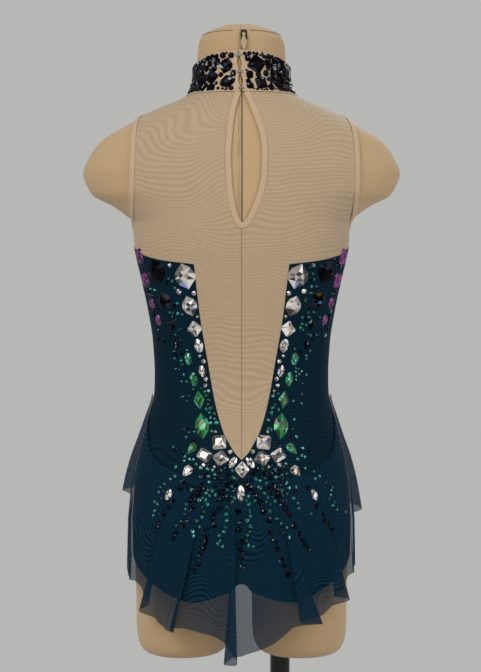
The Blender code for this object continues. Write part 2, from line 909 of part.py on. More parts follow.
def build_front_mesh(finish):
    top = [chart(QUARTER, SHOULDER_TOP_Z)]
    start = bust_line()[:1]
    right = start + over_to_front(armhole_curve(RIGHT_ARMHOLE_BINDING_EDGE)) + top
    left = start + over_to_front(armhole_curve(ARMHOLE_BINDING_EDGE)) + top
    turns = [QUARTER + HALF_TURN * i / FRONT_NECK_STEPS for i in range(FRONT_NECK_STEPS + 1)]
    neck = [chart(turn, NECKLINE_Z) for turn in turns]
    loop = right + neck + to_other_side(left) + bust_line()[-2:0:-1]
    add_object("front_mesh", panel([shrink_loop(loop, SEAM_GAP / 2)], CLOTH), finish)


def brief_turns(front):
    """Columns of one leg that the front or the back of the brief covers."""
    outer, inner = leg_turns(FORM_COLUMNS)
    inner = inner[::-1]
    if front:
        return [t for t in outer if t > QUARTER - NEAR] + [t for t in inner if t < NEAR - QUARTER]
    return [t for t in inner if t > -QUARTER - NEAR] + [t for t in outer if t < QUARTER + NEAR]


def leg_line_share(turn):
    """How far down the leg a column of the brief ends."""
    direction = math.degrees(thigh_direction(turn))
    if direction < LEG_LINE[0][0] - NEAR:
        direction += 360.0
    low = 0.0
    high = 1.0
    for _ in range(LEG_SPLITS):
        middle = (low + high) / 2
        if leg_point(turn, middle).z > leg_line(direction):
            low = middle
        else:
            high = middle
    return high


def leg_cloth(wall, side, front):
    """Add the brief's wall below the hips, on one leg, to a panel."""
    points, faces = wall
    turns = brief_turns(front)
    away = SEAM_GAP / 2 / CHART_RADIUS * (1.0 if front else -1.0)
    start = len(points)
    for turn in turns:
        on_seam = abs(abs(turn) - QUARTER) < NEAR
        placed = turn + math.copysign(away if on_seam else 0.0, away * turn)
        share = leg_line_share(turn)
        for row in range(LEG_CLOTH_ROWS + 1):
            for lift in (CLEARANCE, CLEARANCE + CLOTH):
                if row == 0 and turn >= 0:
                    spot = body_lifted(placed, HIP_LEVEL, lift)
                else:
                    spot = leg_lifted(placed, share * row / LEG_CLOTH_ROWS, lift)
                if row == 0 and turn < 0:
                    spot.x = 0.0
                points.append(mirrored_point(spot, side))
    tall = 2 * (LEG_CLOTH_ROWS + 1)
    last = start + (len(turns) - 1) * tall
    for a in range(start, last, tall):
        b = a + tall
        for here in range(tall - 2):
            faces.append((a + here, b + here, b + here + 2, a + here + 2))
        faces.append((a + tall - 2, b + tall - 2, b + tall - 1, a + tall - 1))
    for edge in (start, last):
        for a in range(edge, edge + tall - 2, 2):
            faces.append((a, a + 2, a + 3, a + 1))


def hip_edge(first, last):
    """Chart points along the hip level, on the form's columns."""
    count = round((last - first) / (2 * HALF_TURN / FORM_COLUMNS))
    return [chart(first + (last - first) * i / count, HIP_LEVEL) for i in range(count + 1)]


def seamed(loop):
    """An outline drawn in by half a seam gap, its hip edge left at the hip level."""
    made = shrink_loop(loop, SEAM_GAP / 2)
    for moved, first in zip(made, loop):
        if first.y <= HIP_LEVEL:
            moved.y = HIP_LEVEL
    return made


def stone_at(x, height, width, length, tilt, sides):
    """A stone of the back, placed by its distance from the middle of the body."""
    spot = chart(turn_at(x, height), height)
    return Stone(spot, width, length, tilt, sides, STONE_RISE)


def back_stones():
    made = [stone_at(*CENTRE_STONE)]
    for x, height, width, length, tilt, sides in STONES:
        made.append(stone_at(x, height, width, length, tilt, sides))
        made.append(stone_at(-x, height, width, length, -tilt, sides))
    return made


def build_back_body(finish):
    right = teal_back_edge()
    loop = hip_edge(-QUARTER, QUARTER) + right + mirrored(right)[1:]
    wall = panel([seamed(loop)], CLOTH, stones=back_stones())
    for side in (1, -1):
        leg_cloth(wall, side, False)
    add_object("back_body", wall, finish)


def build_front_body(finish):
    loop = hip_edge(QUARTER, 3 * QUARTER) + bust_line()[::-1]
    wall = panel([seamed(loop)], CLOTH)
    for side in (1, -1):
        leg_cloth(wall, side, True)
    add_object("front_body", wall, finish)


def build_keyhole_binding(finish):
    outer = {}
    inner = {}
    for side in (1, -1):
        outer[side] = edge_curve(KEYHOLE_BINDING_EDGE, lean=side)
        inner[side] = edge_curve(KEYHOLE_EDGE, lean=side)
    for edge in (outer, inner):
        edge[1][0].x = 0.0
        edge[-1][0].x = 0.0
    left = mirrored(outer[-1])[:-1]
    back_down = inner[1][::-1]
    loop = left + outer[1] + back_down + mirrored(inner[-1])[::-1][1:]
    add_object("keyhole_binding", panel([seamed(loop)], BINDING), finish)


def build_armhole_binding(name, outer_rows, inner_rows, side, finish):
    outer = armhole_curve(outer_rows)
    inner = armhole_curve(inner_rows)
    rings = [outer + over_to_front(outer)[-2:0:-1], inner + over_to_front(inner)[-2:0:-1]]
    rings[0] = shrink_loop(rings[0], SEAM_GAP / 2)
    if side < 0:
        rings = [mirrored(ring) for ring in rings]
    add_object(name, panel(rings, ARMHOLE_BINDING, ARMHOLE_LIFT, step=ARMHOLE_STEP), finish)


def collar_top(turn):
    return COLLAR_TOP_SIDE + COLLAR_TOP_RISE * signed_power(math.cos(turn), 2.0)


def collar_opening(height):
    """Half width of the collar's opening, which springs apart between fastenings."""
    levels = [level for name, level in CLOSURE_LEVELS]
    spacing = levels[1] - levels[0]
    swell = math.sin(HALF_TURN * (height - levels[0]) / spacing) ** 2
    if height < levels[0] or height > levels[-1]:
        swell = 0.0
    return COLLAR_OPENING + COLLAR_BULGE * swell


def slit_lean(height):
    """Sideways shift of the collar's opening, which leans toward -X at its top."""
    return -SLIT_LEAN * (height - COLLAR_BOTTOM) / (collar_top(0.0) - COLLAR_BOTTOM)


def build_collar(finish):
    edges = {1: [], -1: []}
    for i in range(COLLAR_EDGE_STEPS + 1):
        height = COLLAR_BOTTOM + (collar_top(0.0) - COLLAR_BOTTOM) * i / COLLAR_EDGE_STEPS
        for side in (1, -1):
            x = side * collar_opening(height) + slit_lean(height)
            turn = turn_at(x, height) % (2 * HALF_TURN) if side < 0 else turn_at(x, height)
            edges[side].append(chart(turn, height))
    turns = [2 * HALF_TURN * i / COLLAR_COLUMNS for i in range(1, COLLAR_COLUMNS)]
    bottom = [chart(turn, COLLAR_BOTTOM) for turn in turns]
    top = [chart(turn, collar_top(turn)) for turn in reversed(turns)]
    loop = edges[1][:1] + bottom + edges[-1] + top + edges[1][:0:-1]
    stones = []
    for row in range(COLLAR_STONE_ROWS):
        for i in range(COLLAR_STONES_PER_ROW):
            share = (i + 0.5) / COLLAR_STONES_PER_ROW
            turn = COLLAR_BARE_EDGE + share * (2 * HALF_TURN - 2 * COLLAR_BARE_EDGE)
            row_height = (collar_top(turn) - COLLAR_BOTTOM) / COLLAR_STONE_ROWS
            spot = chart(turn, COLLAR_BOTTOM + (row + 0.5) * row_height)
            length = COLLAR_STONE_SHARE * row_height
            tilt = COLLAR_STONE_TILT * math.sin(COLLAR_TILT_STEP * i + row)
            stones.append(Stone(spot, COLLAR_STONE_WIDTH, length, tilt, 4, COLLAR_STONE_RISE))
    add_object("collar", panel([loop], BAND, stones=stones), finish)


def build_closures(finish):
    for name, level in CLOSURE_LEVELS:
        left = turn_at(slit_lean(level) - CLOSURE_WIDTH / 2, level)
        right = turn_at(slit_lean(level) + CLOSURE_WIDTH / 2, level)
        low = level - CLOSURE_HEIGHT / 2
        high = level + CLOSURE_HEIGHT / 2
        loop = [chart(left, low), chart(right, low), chart(right, high), chart(left, high)]
        wall = panel([loop], CLOSURE_THICK, CLEARANCE + BAND + SEAM_GAP)
        add_object(name, wall, finish, smooth=False)


def skirt_point(hem_turn, down):
    """Middle of the skirt's cloth: down is 0 at its seam and 1 at its hem."""
    round_back = (hem_turn + HALF_TURN) % (2 * HALF_TURN) - HALF_TURN
    at_seam = skirt_fan(math.degrees(round_back))
    turn = hem_turn + (math.radians(at_seam) - round_back) * (1.0 - down)
    seam = skirt_seam(abs(at_seam))
    height = seam + (skirt_hem(math.degrees(round_back)) - seam) * down
    out = 0.0
    shift = 0.0
    for direction, width, depth, overlap, start in SKIRT_FOLDS:
        gap = round_back - math.radians(direction)
        gap = (gap + HALF_TURN) % (2 * HALF_TURN) - HALF_TURN
        phase = gap * SKIRT_RADIUS / (width / 2)
        if abs(phase) < 1.0 and down > start:
            grown = ((down - start) / (1.0 - start)) ** FOLD_GROWTH
            out += depth * math.cos(phase * QUARTER) ** 2 * grown
            shift += overlap * grown * math.sin(phase * HALF_TURN)
    side = math.sin(turn) ** 2
    flare = SKIRT_FLARE_BACK + (SKIRT_FLARE_SIDE - SKIRT_FLARE_BACK) * side
    lift = CLEARANCE + CLOTH + SKIRT_GAP + SKIRT_CLOTH / 2
    base = body_lifted(turn + shift / SKIRT_RADIUS, max(height, HIP_LEVEL), lift)
    outward = Vector((base.x, base.y, 0.0)).normalized()
    spot = base + outward * (flare * down + out)
    spot.z = height
    return spot


def skirt_turns(first, last):
    """Columns of the skirt: close together across the folds, wider between."""
    marks = {first, last}
    for direction, width, depth, overlap, start in SKIRT_FOLDS:
        half = width / 2 / SKIRT_RADIUS
        for turn in (math.radians(direction), math.radians(direction) + 2 * HALF_TURN):
            for i in range(FOLD_STEPS + 1):
                marks.add(turn - half + 2 * half * i / FOLD_STEPS)
    marks = sorted(mark for mark in marks if first <= mark <= last)
    turns = [marks[0]]
    for mark in marks[1:]:
        pieces = math.ceil((mark - turns[-1]) / SKIRT_STEP)
        before = turns[-1]
        turns += [before + (mark - before) * i / pieces for i in range(1, pieces + 1)]
    return turns


def build_skirt(name, first, last, finish):
    seam = SEAM_GAP / 2 / SKIRT_RADIUS
    turns = skirt_turns(first + seam, last - seam)
    points = []
    faces = []
    tall = 2 * (SKIRT_ROWS + 1)
    for turn in turns:
        for row in range(SKIRT_ROWS + 1):
            down = row / SKIRT_ROWS
            after = skirt_point(turn + SKIRT_NORMAL_TURN, down)
            across = after - skirt_point(turn - SKIRT_NORMAL_TURN, down)
            along = skirt_point(turn, down - NORMAL_DOWN) - skirt_point(turn, down + NORMAL_DOWN)
            normal = across.cross(along).normalized() * (SKIRT_CLOTH / 2)
            middle = skirt_point(turn, down)
            points += [middle - normal, middle + normal]
    for a in range(0, (len(turns) - 1) * tall, tall):
        b = a + tall
        for here in range(tall - 2):
            faces.append((a + here, b + here, b + here + 2, a + here + 2))
        for here in (0, tall - 2):
            faces.append((a + here, b + here, b + here + 1, a + here + 1))
    for edge in (0, (len(turns) - 1) * tall):
        for a in range(edge, edge + tall - 2, 2):
            faces.append((a, a + 2, a + 3, a + 1))
    add_object(name, (points, faces), finish)


def build_neck_cap(finish):
    points = []
    faces = []
    for rise, share in NECK_CAP_ROWS:
        for i in range(FORM_COLUMNS):
            edge = body_point(2 * HALF_TURN * i / FORM_COLUMNS, NECK_TOP)
            points.append(Vector((edge.x * share, edge.y * share, NECK_TOP + rise)))
    for row in range(len(NECK_CAP_ROWS) - 1):
        join_rings(faces, row * FORM_COLUMNS, (row + 1) * FORM_COLUMNS, FORM_COLUMNS)
    top = (len(NECK_CAP_ROWS) - 1) * FORM_COLUMNS
    faces.append(tuple(range(FORM_COLUMNS)))
    faces.append(tuple(range(top, top + FORM_COLUMNS)))
    add_object("neck_cap", (points, faces), finish)


def box(low, high):
    points = [
        Vector((x, y, z))
        for z in (low[2], high[2]) for y in (low[1], high[1]) for x in (low[0], high[0])
    ]
    faces = [(0, 2, 3, 1), (4, 5, 7, 6), (0, 1, 5, 4), (2, 6, 7, 3), (0, 4, 6, 2), (1, 3, 7, 5)]
    return points, faces


def rod_across(middle_x, y, z, width, radius, sides):
    """A rod along X."""
    points = []
    for x in (middle_x - width / 2, middle_x + width / 2):
        for i in range(sides):
            angle = 2 * HALF_TURN * i / sides
            points.append(Vector((x, y + radius * math.cos(angle), z + radius * math.sin(angle))))
    faces = [tuple(range(sides)), tuple(range(sides, 2 * sides))]
    join_rings(faces, 0, sides, sides)
    return points, faces


def combine(target, name, mesh_parts, operation, finish):
    helper = add_object(name, mesh_parts, finish, smooth=False)
    helper.hide_render = True
    helper.display_type = "WIRE"
    cut = target.modifiers.new(name, "BOOLEAN")
    cut.operation = operation
    cut.object = helper


def build_zip_slider(finish):
    left = turn_at(ZIP_X - SLIDER_WIDTH / 2, SLIDER_BOTTOM)
    right = turn_at(ZIP_X + SLIDER_WIDTH / 2, SLIDER_BOTTOM)
    loop = [
        chart(left, SLIDER_BOTTOM), chart(right, SLIDER_BOTTOM),
        chart(right, SLIDER_TOP), chart(left, SLIDER_TOP),
    ]
    slider = add_object("zip_slider", panel([loop], SLIDER_THICK, SLIDER_LIFT), finish, smooth=False)
    for side in (-1, 1):
        middle = ZIP_X + side * (BAIL_SPAN + POST_WIDTH) / 2
        post = box(
            (middle - POST_WIDTH / 2, POST_OUTER_Y, BAIL_Z - POST_HALF_HEIGHT),
            (middle + POST_WIDTH / 2, POST_INNER_Y, BAIL_Z + POST_HALF_HEIGHT),
        )
        combine(slider, "post_guide", post, "UNION", finish)
    bail = rod_across(ZIP_X, BAIL_Y, BAIL_Z, BAIL_SPAN + POST_WIDTH, BAIL_RADIUS, BAIL_SIDES)
    combine(slider, "bail_guide", bail, "UNION", finish)


def build_zip_pull(finish):
    outline = [(ZIP_X + half, BAIL_Z - below) for below, half in PULL_OUTLINE]
    outline += [(ZIP_X - half, BAIL_Z - below) for below, half in reversed(PULL_OUTLINE)]
    count = len(outline)
    points = [
        Vector((x, BAIL_Y + out, z))
        for out in (-PULL_THICK / 2, PULL_THICK / 2) for x, z in outline
    ]
    faces = [tuple(range(count)), tuple(range(count, 2 * count))]
    join_rings(faces, 0, count, count)
    pull = add_object("zip_pull", (points, faces), finish, smooth=False)
    eye = rod_across(ZIP_X, BAIL_Y, BAIL_Z, EYE_WIDTH, EYE_RADIUS, EYE_SIDES)
    hole = rod_across(ZIP_X, BAIL_Y, BAIL_Z, EYE_WIDTH * 2, EYE_HOLE, EYE_SIDES)
    combine(pull, "eye_guide", eye, "UNION", finish)
    combine(pull, "hole_guide", hole, "DIFFERENCE", finish)


def build_pole(finish):
    wall = drum(POLE_X, BASE_THICK + SEAM_GAP, THIGH_BOTTOM - SEAM_GAP, POLE_RADIUS)
    add_object("pole", wall, finish)


def build_base(finish):
    add_object("base", drum(0.0, 0.0, BASE_THICK, BASE_RADIUS), finish)


def drum(x, bottom, top, radius):
    points = []
    for height in (bottom, top):
        for i in range(ROUND_SIDES):
            angle = 2 * HALF_TURN * i / ROUND_SIDES
            points.append(Vector((x + radius * math.cos(angle), radius * math.sin(angle), height)))
    faces = [tuple(range(ROUND_SIDES)), tuple(range(ROUND_SIDES, 2 * ROUND_SIDES))]
    join_rings(faces, 0, ROUND_SIDES, ROUND_SIDES)
    return points, faces


def main():
    clear_scene()
    teal_cloth = material("teal_stretch_cloth", (0.004, 0.022, 0.035), 0.6)
    nude_mesh = material("nude_mesh", (0.52, 0.36, 0.24), 0.75)
    nude_elastic = material("nude_elastic", (0.6, 0.45, 0.32), 0.7)
    black_stones = material("black_stones", (0.006, 0.006, 0.008), 0.12)
    sheer_teal = material("sheer_teal", (0.01, 0.035, 0.045), 0.55)
    form_cloth = material("form_cloth", (0.45, 0.29, 0.18), 0.8)
    silver = material("silver_metal", (0.75, 0.74, 0.72), 0.25, 1.0)
    dark_metal = material("dark_metal", (0.05, 0.045, 0.04), 0.4, 1.0)
    brass = material("brass", (0.72, 0.58, 0.36), 0.3, 1.0)
    black_gloss = material("black_gloss", (0.01, 0.01, 0.01), 0.15)
    build_dress_form(form_cloth)
    build_neck_cap(form_cloth)
    build_back_body(teal_cloth)
    build_front_body(teal_cloth)
    build_back_mesh(nude_mesh)
    build_front_mesh(nude_mesh)
    build_keyhole_binding(nude_elastic)
    build_armhole_binding(
        "armhole_binding_right", RIGHT_ARMHOLE_BINDING_EDGE, RIGHT_ARMHOLE_EDGE, 1, nude_elastic
    )
    build_armhole_binding(
        "armhole_binding_left", ARMHOLE_BINDING_EDGE, ARMHOLE_EDGE, -1, nude_elastic
    )
    build_collar(black_stones)
    build_closures(silver)
    build_skirt("skirt_back", -QUARTER, QUARTER, sheer_teal)
    build_skirt("skirt_front", QUARTER, 3 * QUARTER, sheer_teal)
    build_zip_slider(dark_metal)
    build_zip_pull(brass)
    build_pole(black_gloss)
    build_base(black_gloss)


main()
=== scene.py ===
"""Looks of a sleeveless leotard with a sheer skirt, worn by a child's dress form.

The back of the garment faces -Y, the front +Y and up is +Z. Sizes in the tables
are in millimetres, and meshes are made in metres.
"""

import math

import bmesh
import bpy
import numpy as np
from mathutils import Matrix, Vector
from mathutils.bvhtree import BVHTree
from mathutils.geometry import delaunay_2d_cdt


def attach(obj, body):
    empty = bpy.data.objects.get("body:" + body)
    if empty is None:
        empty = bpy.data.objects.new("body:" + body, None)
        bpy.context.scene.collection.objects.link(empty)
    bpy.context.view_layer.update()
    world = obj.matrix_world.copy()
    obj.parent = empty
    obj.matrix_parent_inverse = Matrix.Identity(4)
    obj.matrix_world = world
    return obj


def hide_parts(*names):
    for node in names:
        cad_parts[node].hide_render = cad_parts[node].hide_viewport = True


bl_info = {
    "name": "Leotard on a dress form",
    "version": (1, 0, 0),
    "blender": (4, 5, 0),
    "location": "View3D > Sidebar > Leotard",
    "description": "Builds a jewelled leotard with a sheer skirt on its dress form",
    "category": "Object",
}

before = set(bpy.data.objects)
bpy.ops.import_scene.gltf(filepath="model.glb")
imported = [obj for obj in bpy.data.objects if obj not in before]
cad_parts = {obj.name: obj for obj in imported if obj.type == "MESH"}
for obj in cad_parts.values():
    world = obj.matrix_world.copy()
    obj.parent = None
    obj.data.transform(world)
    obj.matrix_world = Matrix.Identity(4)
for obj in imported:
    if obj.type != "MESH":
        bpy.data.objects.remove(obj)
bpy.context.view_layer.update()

MM = 0.001
HALF_TURN = math.pi
QUARTER = math.pi / 2

BODY_SECTIONS = [
    # height, half_width, back, front, squareness
    (404.0, 119.5, 102.0, 84.0, 2.40),
    (445.0, 116.2, 97.5, 84.0, 2.40),
    (470.0, 112.2, 90.5, 83.0, 2.40),
    (495.0, 106.0, 81.5, 81.0, 2.35),
    (517.0, 101.0, 75.5, 78.0, 2.30),
    (544.0, 95.0, 71.5, 74.0, 2.30),
    (562.0, 94.7, 71.0, 73.0, 2.30),
    (598.0, 96.6, 73.0, 77.0, 2.30),
    (634.0, 102.2, 77.5, 84.0, 2.35),
    (670.0, 110.0, 82.5, 91.0, 2.40),
    (705.0, 117.6, 86.5, 95.0, 2.45),
    (730.0, 119.4, 87.5, 96.0, 2.40),
    (741.0, 131.5, 87.0, 95.5, 2.25),
    (752.0, 147.5, 86.5, 94.5, 2.10),
    (760.0, 164.5, 86.0, 93.5, 2.00),
    (772.0, 173.0, 85.0, 92.0, 1.95),
    (786.0, 177.3, 83.5, 89.5, 1.95),
    (804.0, 170.2, 80.5, 84.5, 1.95),
    (822.0, 157.0, 76.0, 78.5, 1.95),
    (840.0, 127.0, 70.0, 71.5, 1.95),
    (849.0, 109.5, 66.0, 68.0, 1.95),
    (858.0, 89.0, 60.5, 64.0, 2.00),
    (866.0, 69.0, 55.5, 60.5, 2.00),
    (875.0, 55.0, 51.0, 57.0, 2.00),
    (893.0, 50.0, 48.0, 54.0, 2.00),
    (911.0, 49.3, 47.0, 53.0, 2.00),
    (930.0, 48.2, 46.0, 52.0, 2.00),
    (939.0, 44.5, 43.0, 48.5, 2.00),
    (945.0, 36.0, 35.5, 40.0, 2.00),
    (948.0, 27.0, 27.5, 31.0, 2.00),
]
HIP_LEVEL = 404.0
SIDE_CROWDING = 0.18
CHART_RADIUS = 100.0
TURN_ROUNDS = 30
TURN_EASE = 0.7

THIGH_LEVEL = 300.0
THIGH_BOTTOM = 252.5
THIGH_CENTRE_X = 64.4
THIGH_CENTRE_Y = -4.0
THIGH_HALF_WIDTH = 52.6
THIGH_HALF_DEPTH = 68.0
CROTCH_DROP = 73.0
CROTCH_SQUARE = 2.3
CROTCH_CORNER = math.radians(40)
CORNER_BLEND = math.radians(30)
SEAT_PULL = 105.0
INNER_PULL = 34.0
THIGH_PULL = 60.0
THIGH_ROUNDING = [
    # height above the bottom, share of the thigh's section
    (40.0, 1.0),
    (32.0, 1.0),
    (25.0, 0.992),
    (18.0, 0.975),
    (13.0, 0.95),
    (8.5, 0.915),
    (5.0, 0.87),
    (2.5, 0.81),
    (1.0, 0.74),
    (0.0, 0.64),
]

V_EDGE = [
    # height, distance from centre back
    (471.3, 0.0),
    (478.0, 6.7),
    (488.5, 13.2),
    (500.0, 19.1),
    (517.0, 24.5),
    (535.5, 28.9),
    (575.0, 35.8),
    (624.0, 44.0),
    (681.9, 50.8),
]
TEAL_TOP = [
    # distance from centre back, height
    (117.6, 706.5),
    (114.5, 700.0),
    (109.0, 695.0),
    (85.0, 687.0),
    (50.8, 681.9),
]
BUST_EDGE = [
    # share of a half turn from centre back, height
    (0.5, 706.5),
    (0.68, 716.0),
    (0.8, 716.0),
    (0.9, 710.0),
    (1.0, 698.0),
]
V_TIP_Z = 471.3
RIGHT_ARMHOLE_EDGE = [
    # height, distance from the middle of the body
    (730.5, 120.2),
    (741.0, 124.8),
    (757.0, 127.2),
    (779.0, 128.4),
    (804.0, 128.0),
    (830.0, 125.4),
    (842.0, 121.8),
    (847.0, 115.5),
]
RIGHT_ARMHOLE_BINDING_EDGE = [
    # height, distance from the middle of the body
    (724.0, 119.2),
    (732.0, 118.2),
    (742.0, 119.4),
    (757.0, 121.4),
    (779.0, 122.8),
    (804.0, 122.4),
    (830.0, 119.6),
    (843.0, 115.4),
    (850.5, 107.8),
]
KEYHOLE_LEAN = [
    # height, shift of the opening toward +X
    (718.4, 0.6),
    (740.0, 2.6),
    (775.0, 5.2),
    (812.0, 5.4),
    (845.0, 2.6),
    (869.4, 0.8),
]
ARMHOLE_EDGE = [
    # height, distance from the middle of the body
    (730.5, 119.8),
    (741.0, 121.5),
    (757.0, 121.5),
    (779.0, 121.0),
    (804.0, 120.3),
    (830.0, 119.4),
    (842.0, 117.6),
    (847.0, 113.5),
]
ARMHOLE_BINDING_EDGE = [
    # height, distance from the middle of the body
    (724.0, 119.2),
    (732.0, 116.8),
    (742.0, 116.0),
    (757.0, 115.8),
    (779.0, 115.4),
    (804.0, 114.7),
    (830.0, 113.6),
    (843.0, 111.4),
    (850.5, 106.5),
]
KEYHOLE_EDGE = [
    # height, distance from centre back
    (725.6, 0.0),
    (727.5, 2.6),
    (735.0, 6.4),
    (750.0, 11.2),
    (775.0, 15.4),
    (800.0, 16.3),
    (825.0, 14.0),
    (845.0, 9.4),
    (860.0, 4.6),
    (869.4, 1.2),
]
KEYHOLE_BINDING_EDGE = [
    # height, distance from centre back
    (718.4, 0.0),
    (720.5, 4.4),
    (731.0, 11.4),
    (750.0, 17.8),
    (775.0, 22.4),
    (800.0, 23.4),
    (825.0, 21.0),
    (845.0, 16.4),
    (860.0, 11.6),
    (869.4, 8.2),
]
LEG_LINE = [
    # direction, height
    (-90.0, 326.0),
    (-60.0, 325.0),
    (-30.0, 320.0),
    (-12.0, 318.0),
    (5.0, 322.5),
    (28.0, 335.5),
    (60.0, 355.0),
    (90.0, 366.0),
    (120.0, 368.0),
    (155.0, 356.0),
    (190.0, 341.0),
    (230.0, 330.0),
    (270.0, 326.0),
]
SKIRT_SEAM = [
    # direction from centre back, height
    (0.0, 449.0),
    (20.0, 452.0),
    (38.0, 464.0),
    (55.0, 484.0),
    (72.0, 516.0),
    (90.0, 540.0),
    (115.0, 530.0),
    (145.0, 508.0),
    (180.0, 498.0),
]
SKIRT_HEM = [
    # direction at the hem, height
    (-180.0, 432.0),
    (-150.0, 436.0),
    (-118.0, 435.0),
    (-99.0, 430.0),
    (-91.0, 416.0),
    (-84.0, 362.0),
    (-77.0, 344.0),
    (-68.0, 339.0),
    (-56.0, 338.0),
    (-47.5, 333.0),
    (-44.5, 318.0),
    (-41.0, 308.0),
    (-35.0, 297.0),
    (-29.0, 290.0),
    (-25.0, 294.0),
    (-16.0, 290.0),
    (-8.5, 283.0),
    (-6.8, 266.0),
    (-5.0, 257.5),
    (-2.4, 258.5),
    (-1.0, 264.5),
    (9.0, 274.0),
    (17.0, 287.0),
    (22.5, 297.0),
    (27.5, 298.5),
    (33.5, 305.0),
    (41.0, 316.0),
    (48.0, 326.0),
    (54.0, 342.0),
    (66.0, 348.0),
    (77.0, 352.0),
    (84.0, 372.0),
    (92.0, 402.0),
    (101.0, 410.0),
    (118.0, 424.0),
    (150.0, 436.0),
    (180.0, 432.0),
]
SKIRT_FAN = [
    # direction at the hem, direction at the seam
    (-180.0, -180.0),
    (-100.0, -97.0),
    (-80.0, -74.0),
    (-42.0, -27.0),
    (-29.0, -15.0),
    (-4.3, -2.6),
    (12.0, 5.0),
    (27.0, 13.0),
    (43.0, 28.0),
    (80.0, 74.0),
    (100.0, 97.0),
    (180.0, 180.0),
]
SKIRT_FOLDS = [
    # direction at the hem, width, depth, overlap, start
    (-170.0, 30.0, 9.0, 3.0, 0.10),
    (-146.0, 34.0, 11.0, 4.0, 0.05),
    (-122.0, 30.0, 12.0, 3.0, 0.08),
    (-101.0, 26.0, 12.0, 2.0, 0.05),
    (-79.0, 20.0, 2.5, 2.0, 0.10),
    (-60.0, 18.0, 3.5, 1.0, 0.25),
    (-41.0, 18.0, 5.0, 3.0, 0.12),
    (-29.0, 11.0, 6.0, 1.5, 0.20),
    (-4.3, 15.0, 8.0, 2.2, 0.08),
    (13.0, 18.0, 3.0, 0.0, 0.40),
    (27.0, 24.0, 8.0, 3.5, 0.08),
    (43.0, 16.0, 7.0, 2.5, 0.15),
    (61.0, 18.0, 3.5, 1.0, 0.30),
    (79.0, 20.0, 1.2, 2.0, 0.10),
    (101.0, 26.0, 12.0, 2.0, 0.05),
    (124.0, 30.0, 11.0, 3.0, 0.08),
    (150.0, 34.0, 10.0, 4.0, 0.05),
    (172.0, 22.0, 8.0, 2.0, 0.10),
]
FOLD_GROWTH = 0.95
# Flat pleats that lie on the folds of the back
PLEATS = [
    # direction at the hem, width at the hem, depth, side of the outer layer, start
    (-73.0, 9.0, 1.3, -1, 0.35),
    (-42.5, 9.0, 1.4, -1, 0.12),
    (-28.3, 8.5, 1.4, 1, 0.10),
    (-4.3, 14.5, 1.6, 1, 0.06),
    (27.6, 25.0, 1.7, -1, 0.08),
    (45.5, 11.0, 1.4, 1, 0.12),
    (76.0, 9.0, 1.3, 1, 0.35),
]
PLEAT_MARGIN = 2.5
SKIRT_LIFT = 4.6
SKIRT_FLARE_BACK = 7.0
SKIRT_FLARE_SIDE = 1.0
SKIRT_RADIUS = 112.0

COLLAR_BOTTOM = 870.0
NECKLINE_Z = 869.6
COLLAR_TOP_SIDE = 907.0
COLLAR_TOP_RISE = 10.0
COLLAR_OPENING = 0.8
COLLAR_BULGE = 1.8
SLIT_LEAN = 3.4
CLOSURE_LEVELS = [
    # name, height
    ("closure_bottom", 873.5),
    ("closure_middle", 893.0),
    ("closure_top", 911.5),
]

# Set stones of the back, mirrored to the other side
LARGE_STONES = [
    # from_centre, height, width, length, tilt, cut, colour
    (60.7, 668.8, 24.0, 29.0, 10.0, "cosmic", "clear"),
    (55.7, 637.0, 17.5, 23.0, 12.0, "cosmic", "clear"),
    (50.4, 612.3, 17.5, 17.5, 8.0, "kite", "clear"),
    (46.1, 594.0, 10.0, 15.5, 14.0, "navette", "clear"),
    (42.6, 566.4, 7.5, 13.0, 12.0, "navette", "clear"),
    (91.7, 674.6, 24.0, 27.0, 18.0, "cosmic", "black"),
    (83.0, 642.8, 18.0, 21.0, 14.0, "cosmic", "black"),
    (76.0, 617.0, 9.5, 12.5, 4.0, "kite", "black"),
    (70.7, 595.3, 7.5, 11.0, 6.0, "navette", "black"),
    (110.5, 692.0, 13.0, 18.0, 14.0, "cushion", "magenta"),
    (104.0, 666.0, 13.0, 17.0, 16.0, "cushion", "magenta"),
    (97.5, 640.8, 9.0, 13.0, 16.0, "navette", "magenta"),
    (90.5, 622.0, 8.0, 12.5, 14.0, "navette", "magenta"),
    (57.5, 579.6, 9.0, 14.0, 8.0, "navette", "green"),
    (51.6, 557.6, 9.0, 16.5, 12.0, "navette", "green"),
    (45.7, 535.1, 12.0, 20.0, 10.0, "kite", "green"),
    (42.4, 507.4, 16.0, 30.0, 6.0, "cosmic", "green"),
    (54.0, 483.2, 10.5, 15.0, -38.0, "pear", "green"),
    (24.0, 490.4, 17.5, 18.0, 6.0, "square", "clear"),
    (39.5, 476.7, 17.0, 14.5, -32.0, "square", "clear"),
    (22.2, 473.7, 18.0, 17.5, -10.0, "kite", "clear"),
    (9.3, 469.4, 7.5, 14.0, -30.0, "navette", "clear"),
    (58.0, 459.6, 12.0, 14.0, -35.0, "pear", "clear"),
    (78.0, 434.7, 7.5, 13.0, -22.0, "navette", "clear"),
]
CENTRE_STONES = [
    # from_centre, height, width, length, tilt, cut, colour
    (0.7, 461.8, 15.0, 18.5, 0.0, "kite", "clear"),
    (-0.7, 437.3, 8.0, 17.5, 0.0, "navette", "clear"),
]
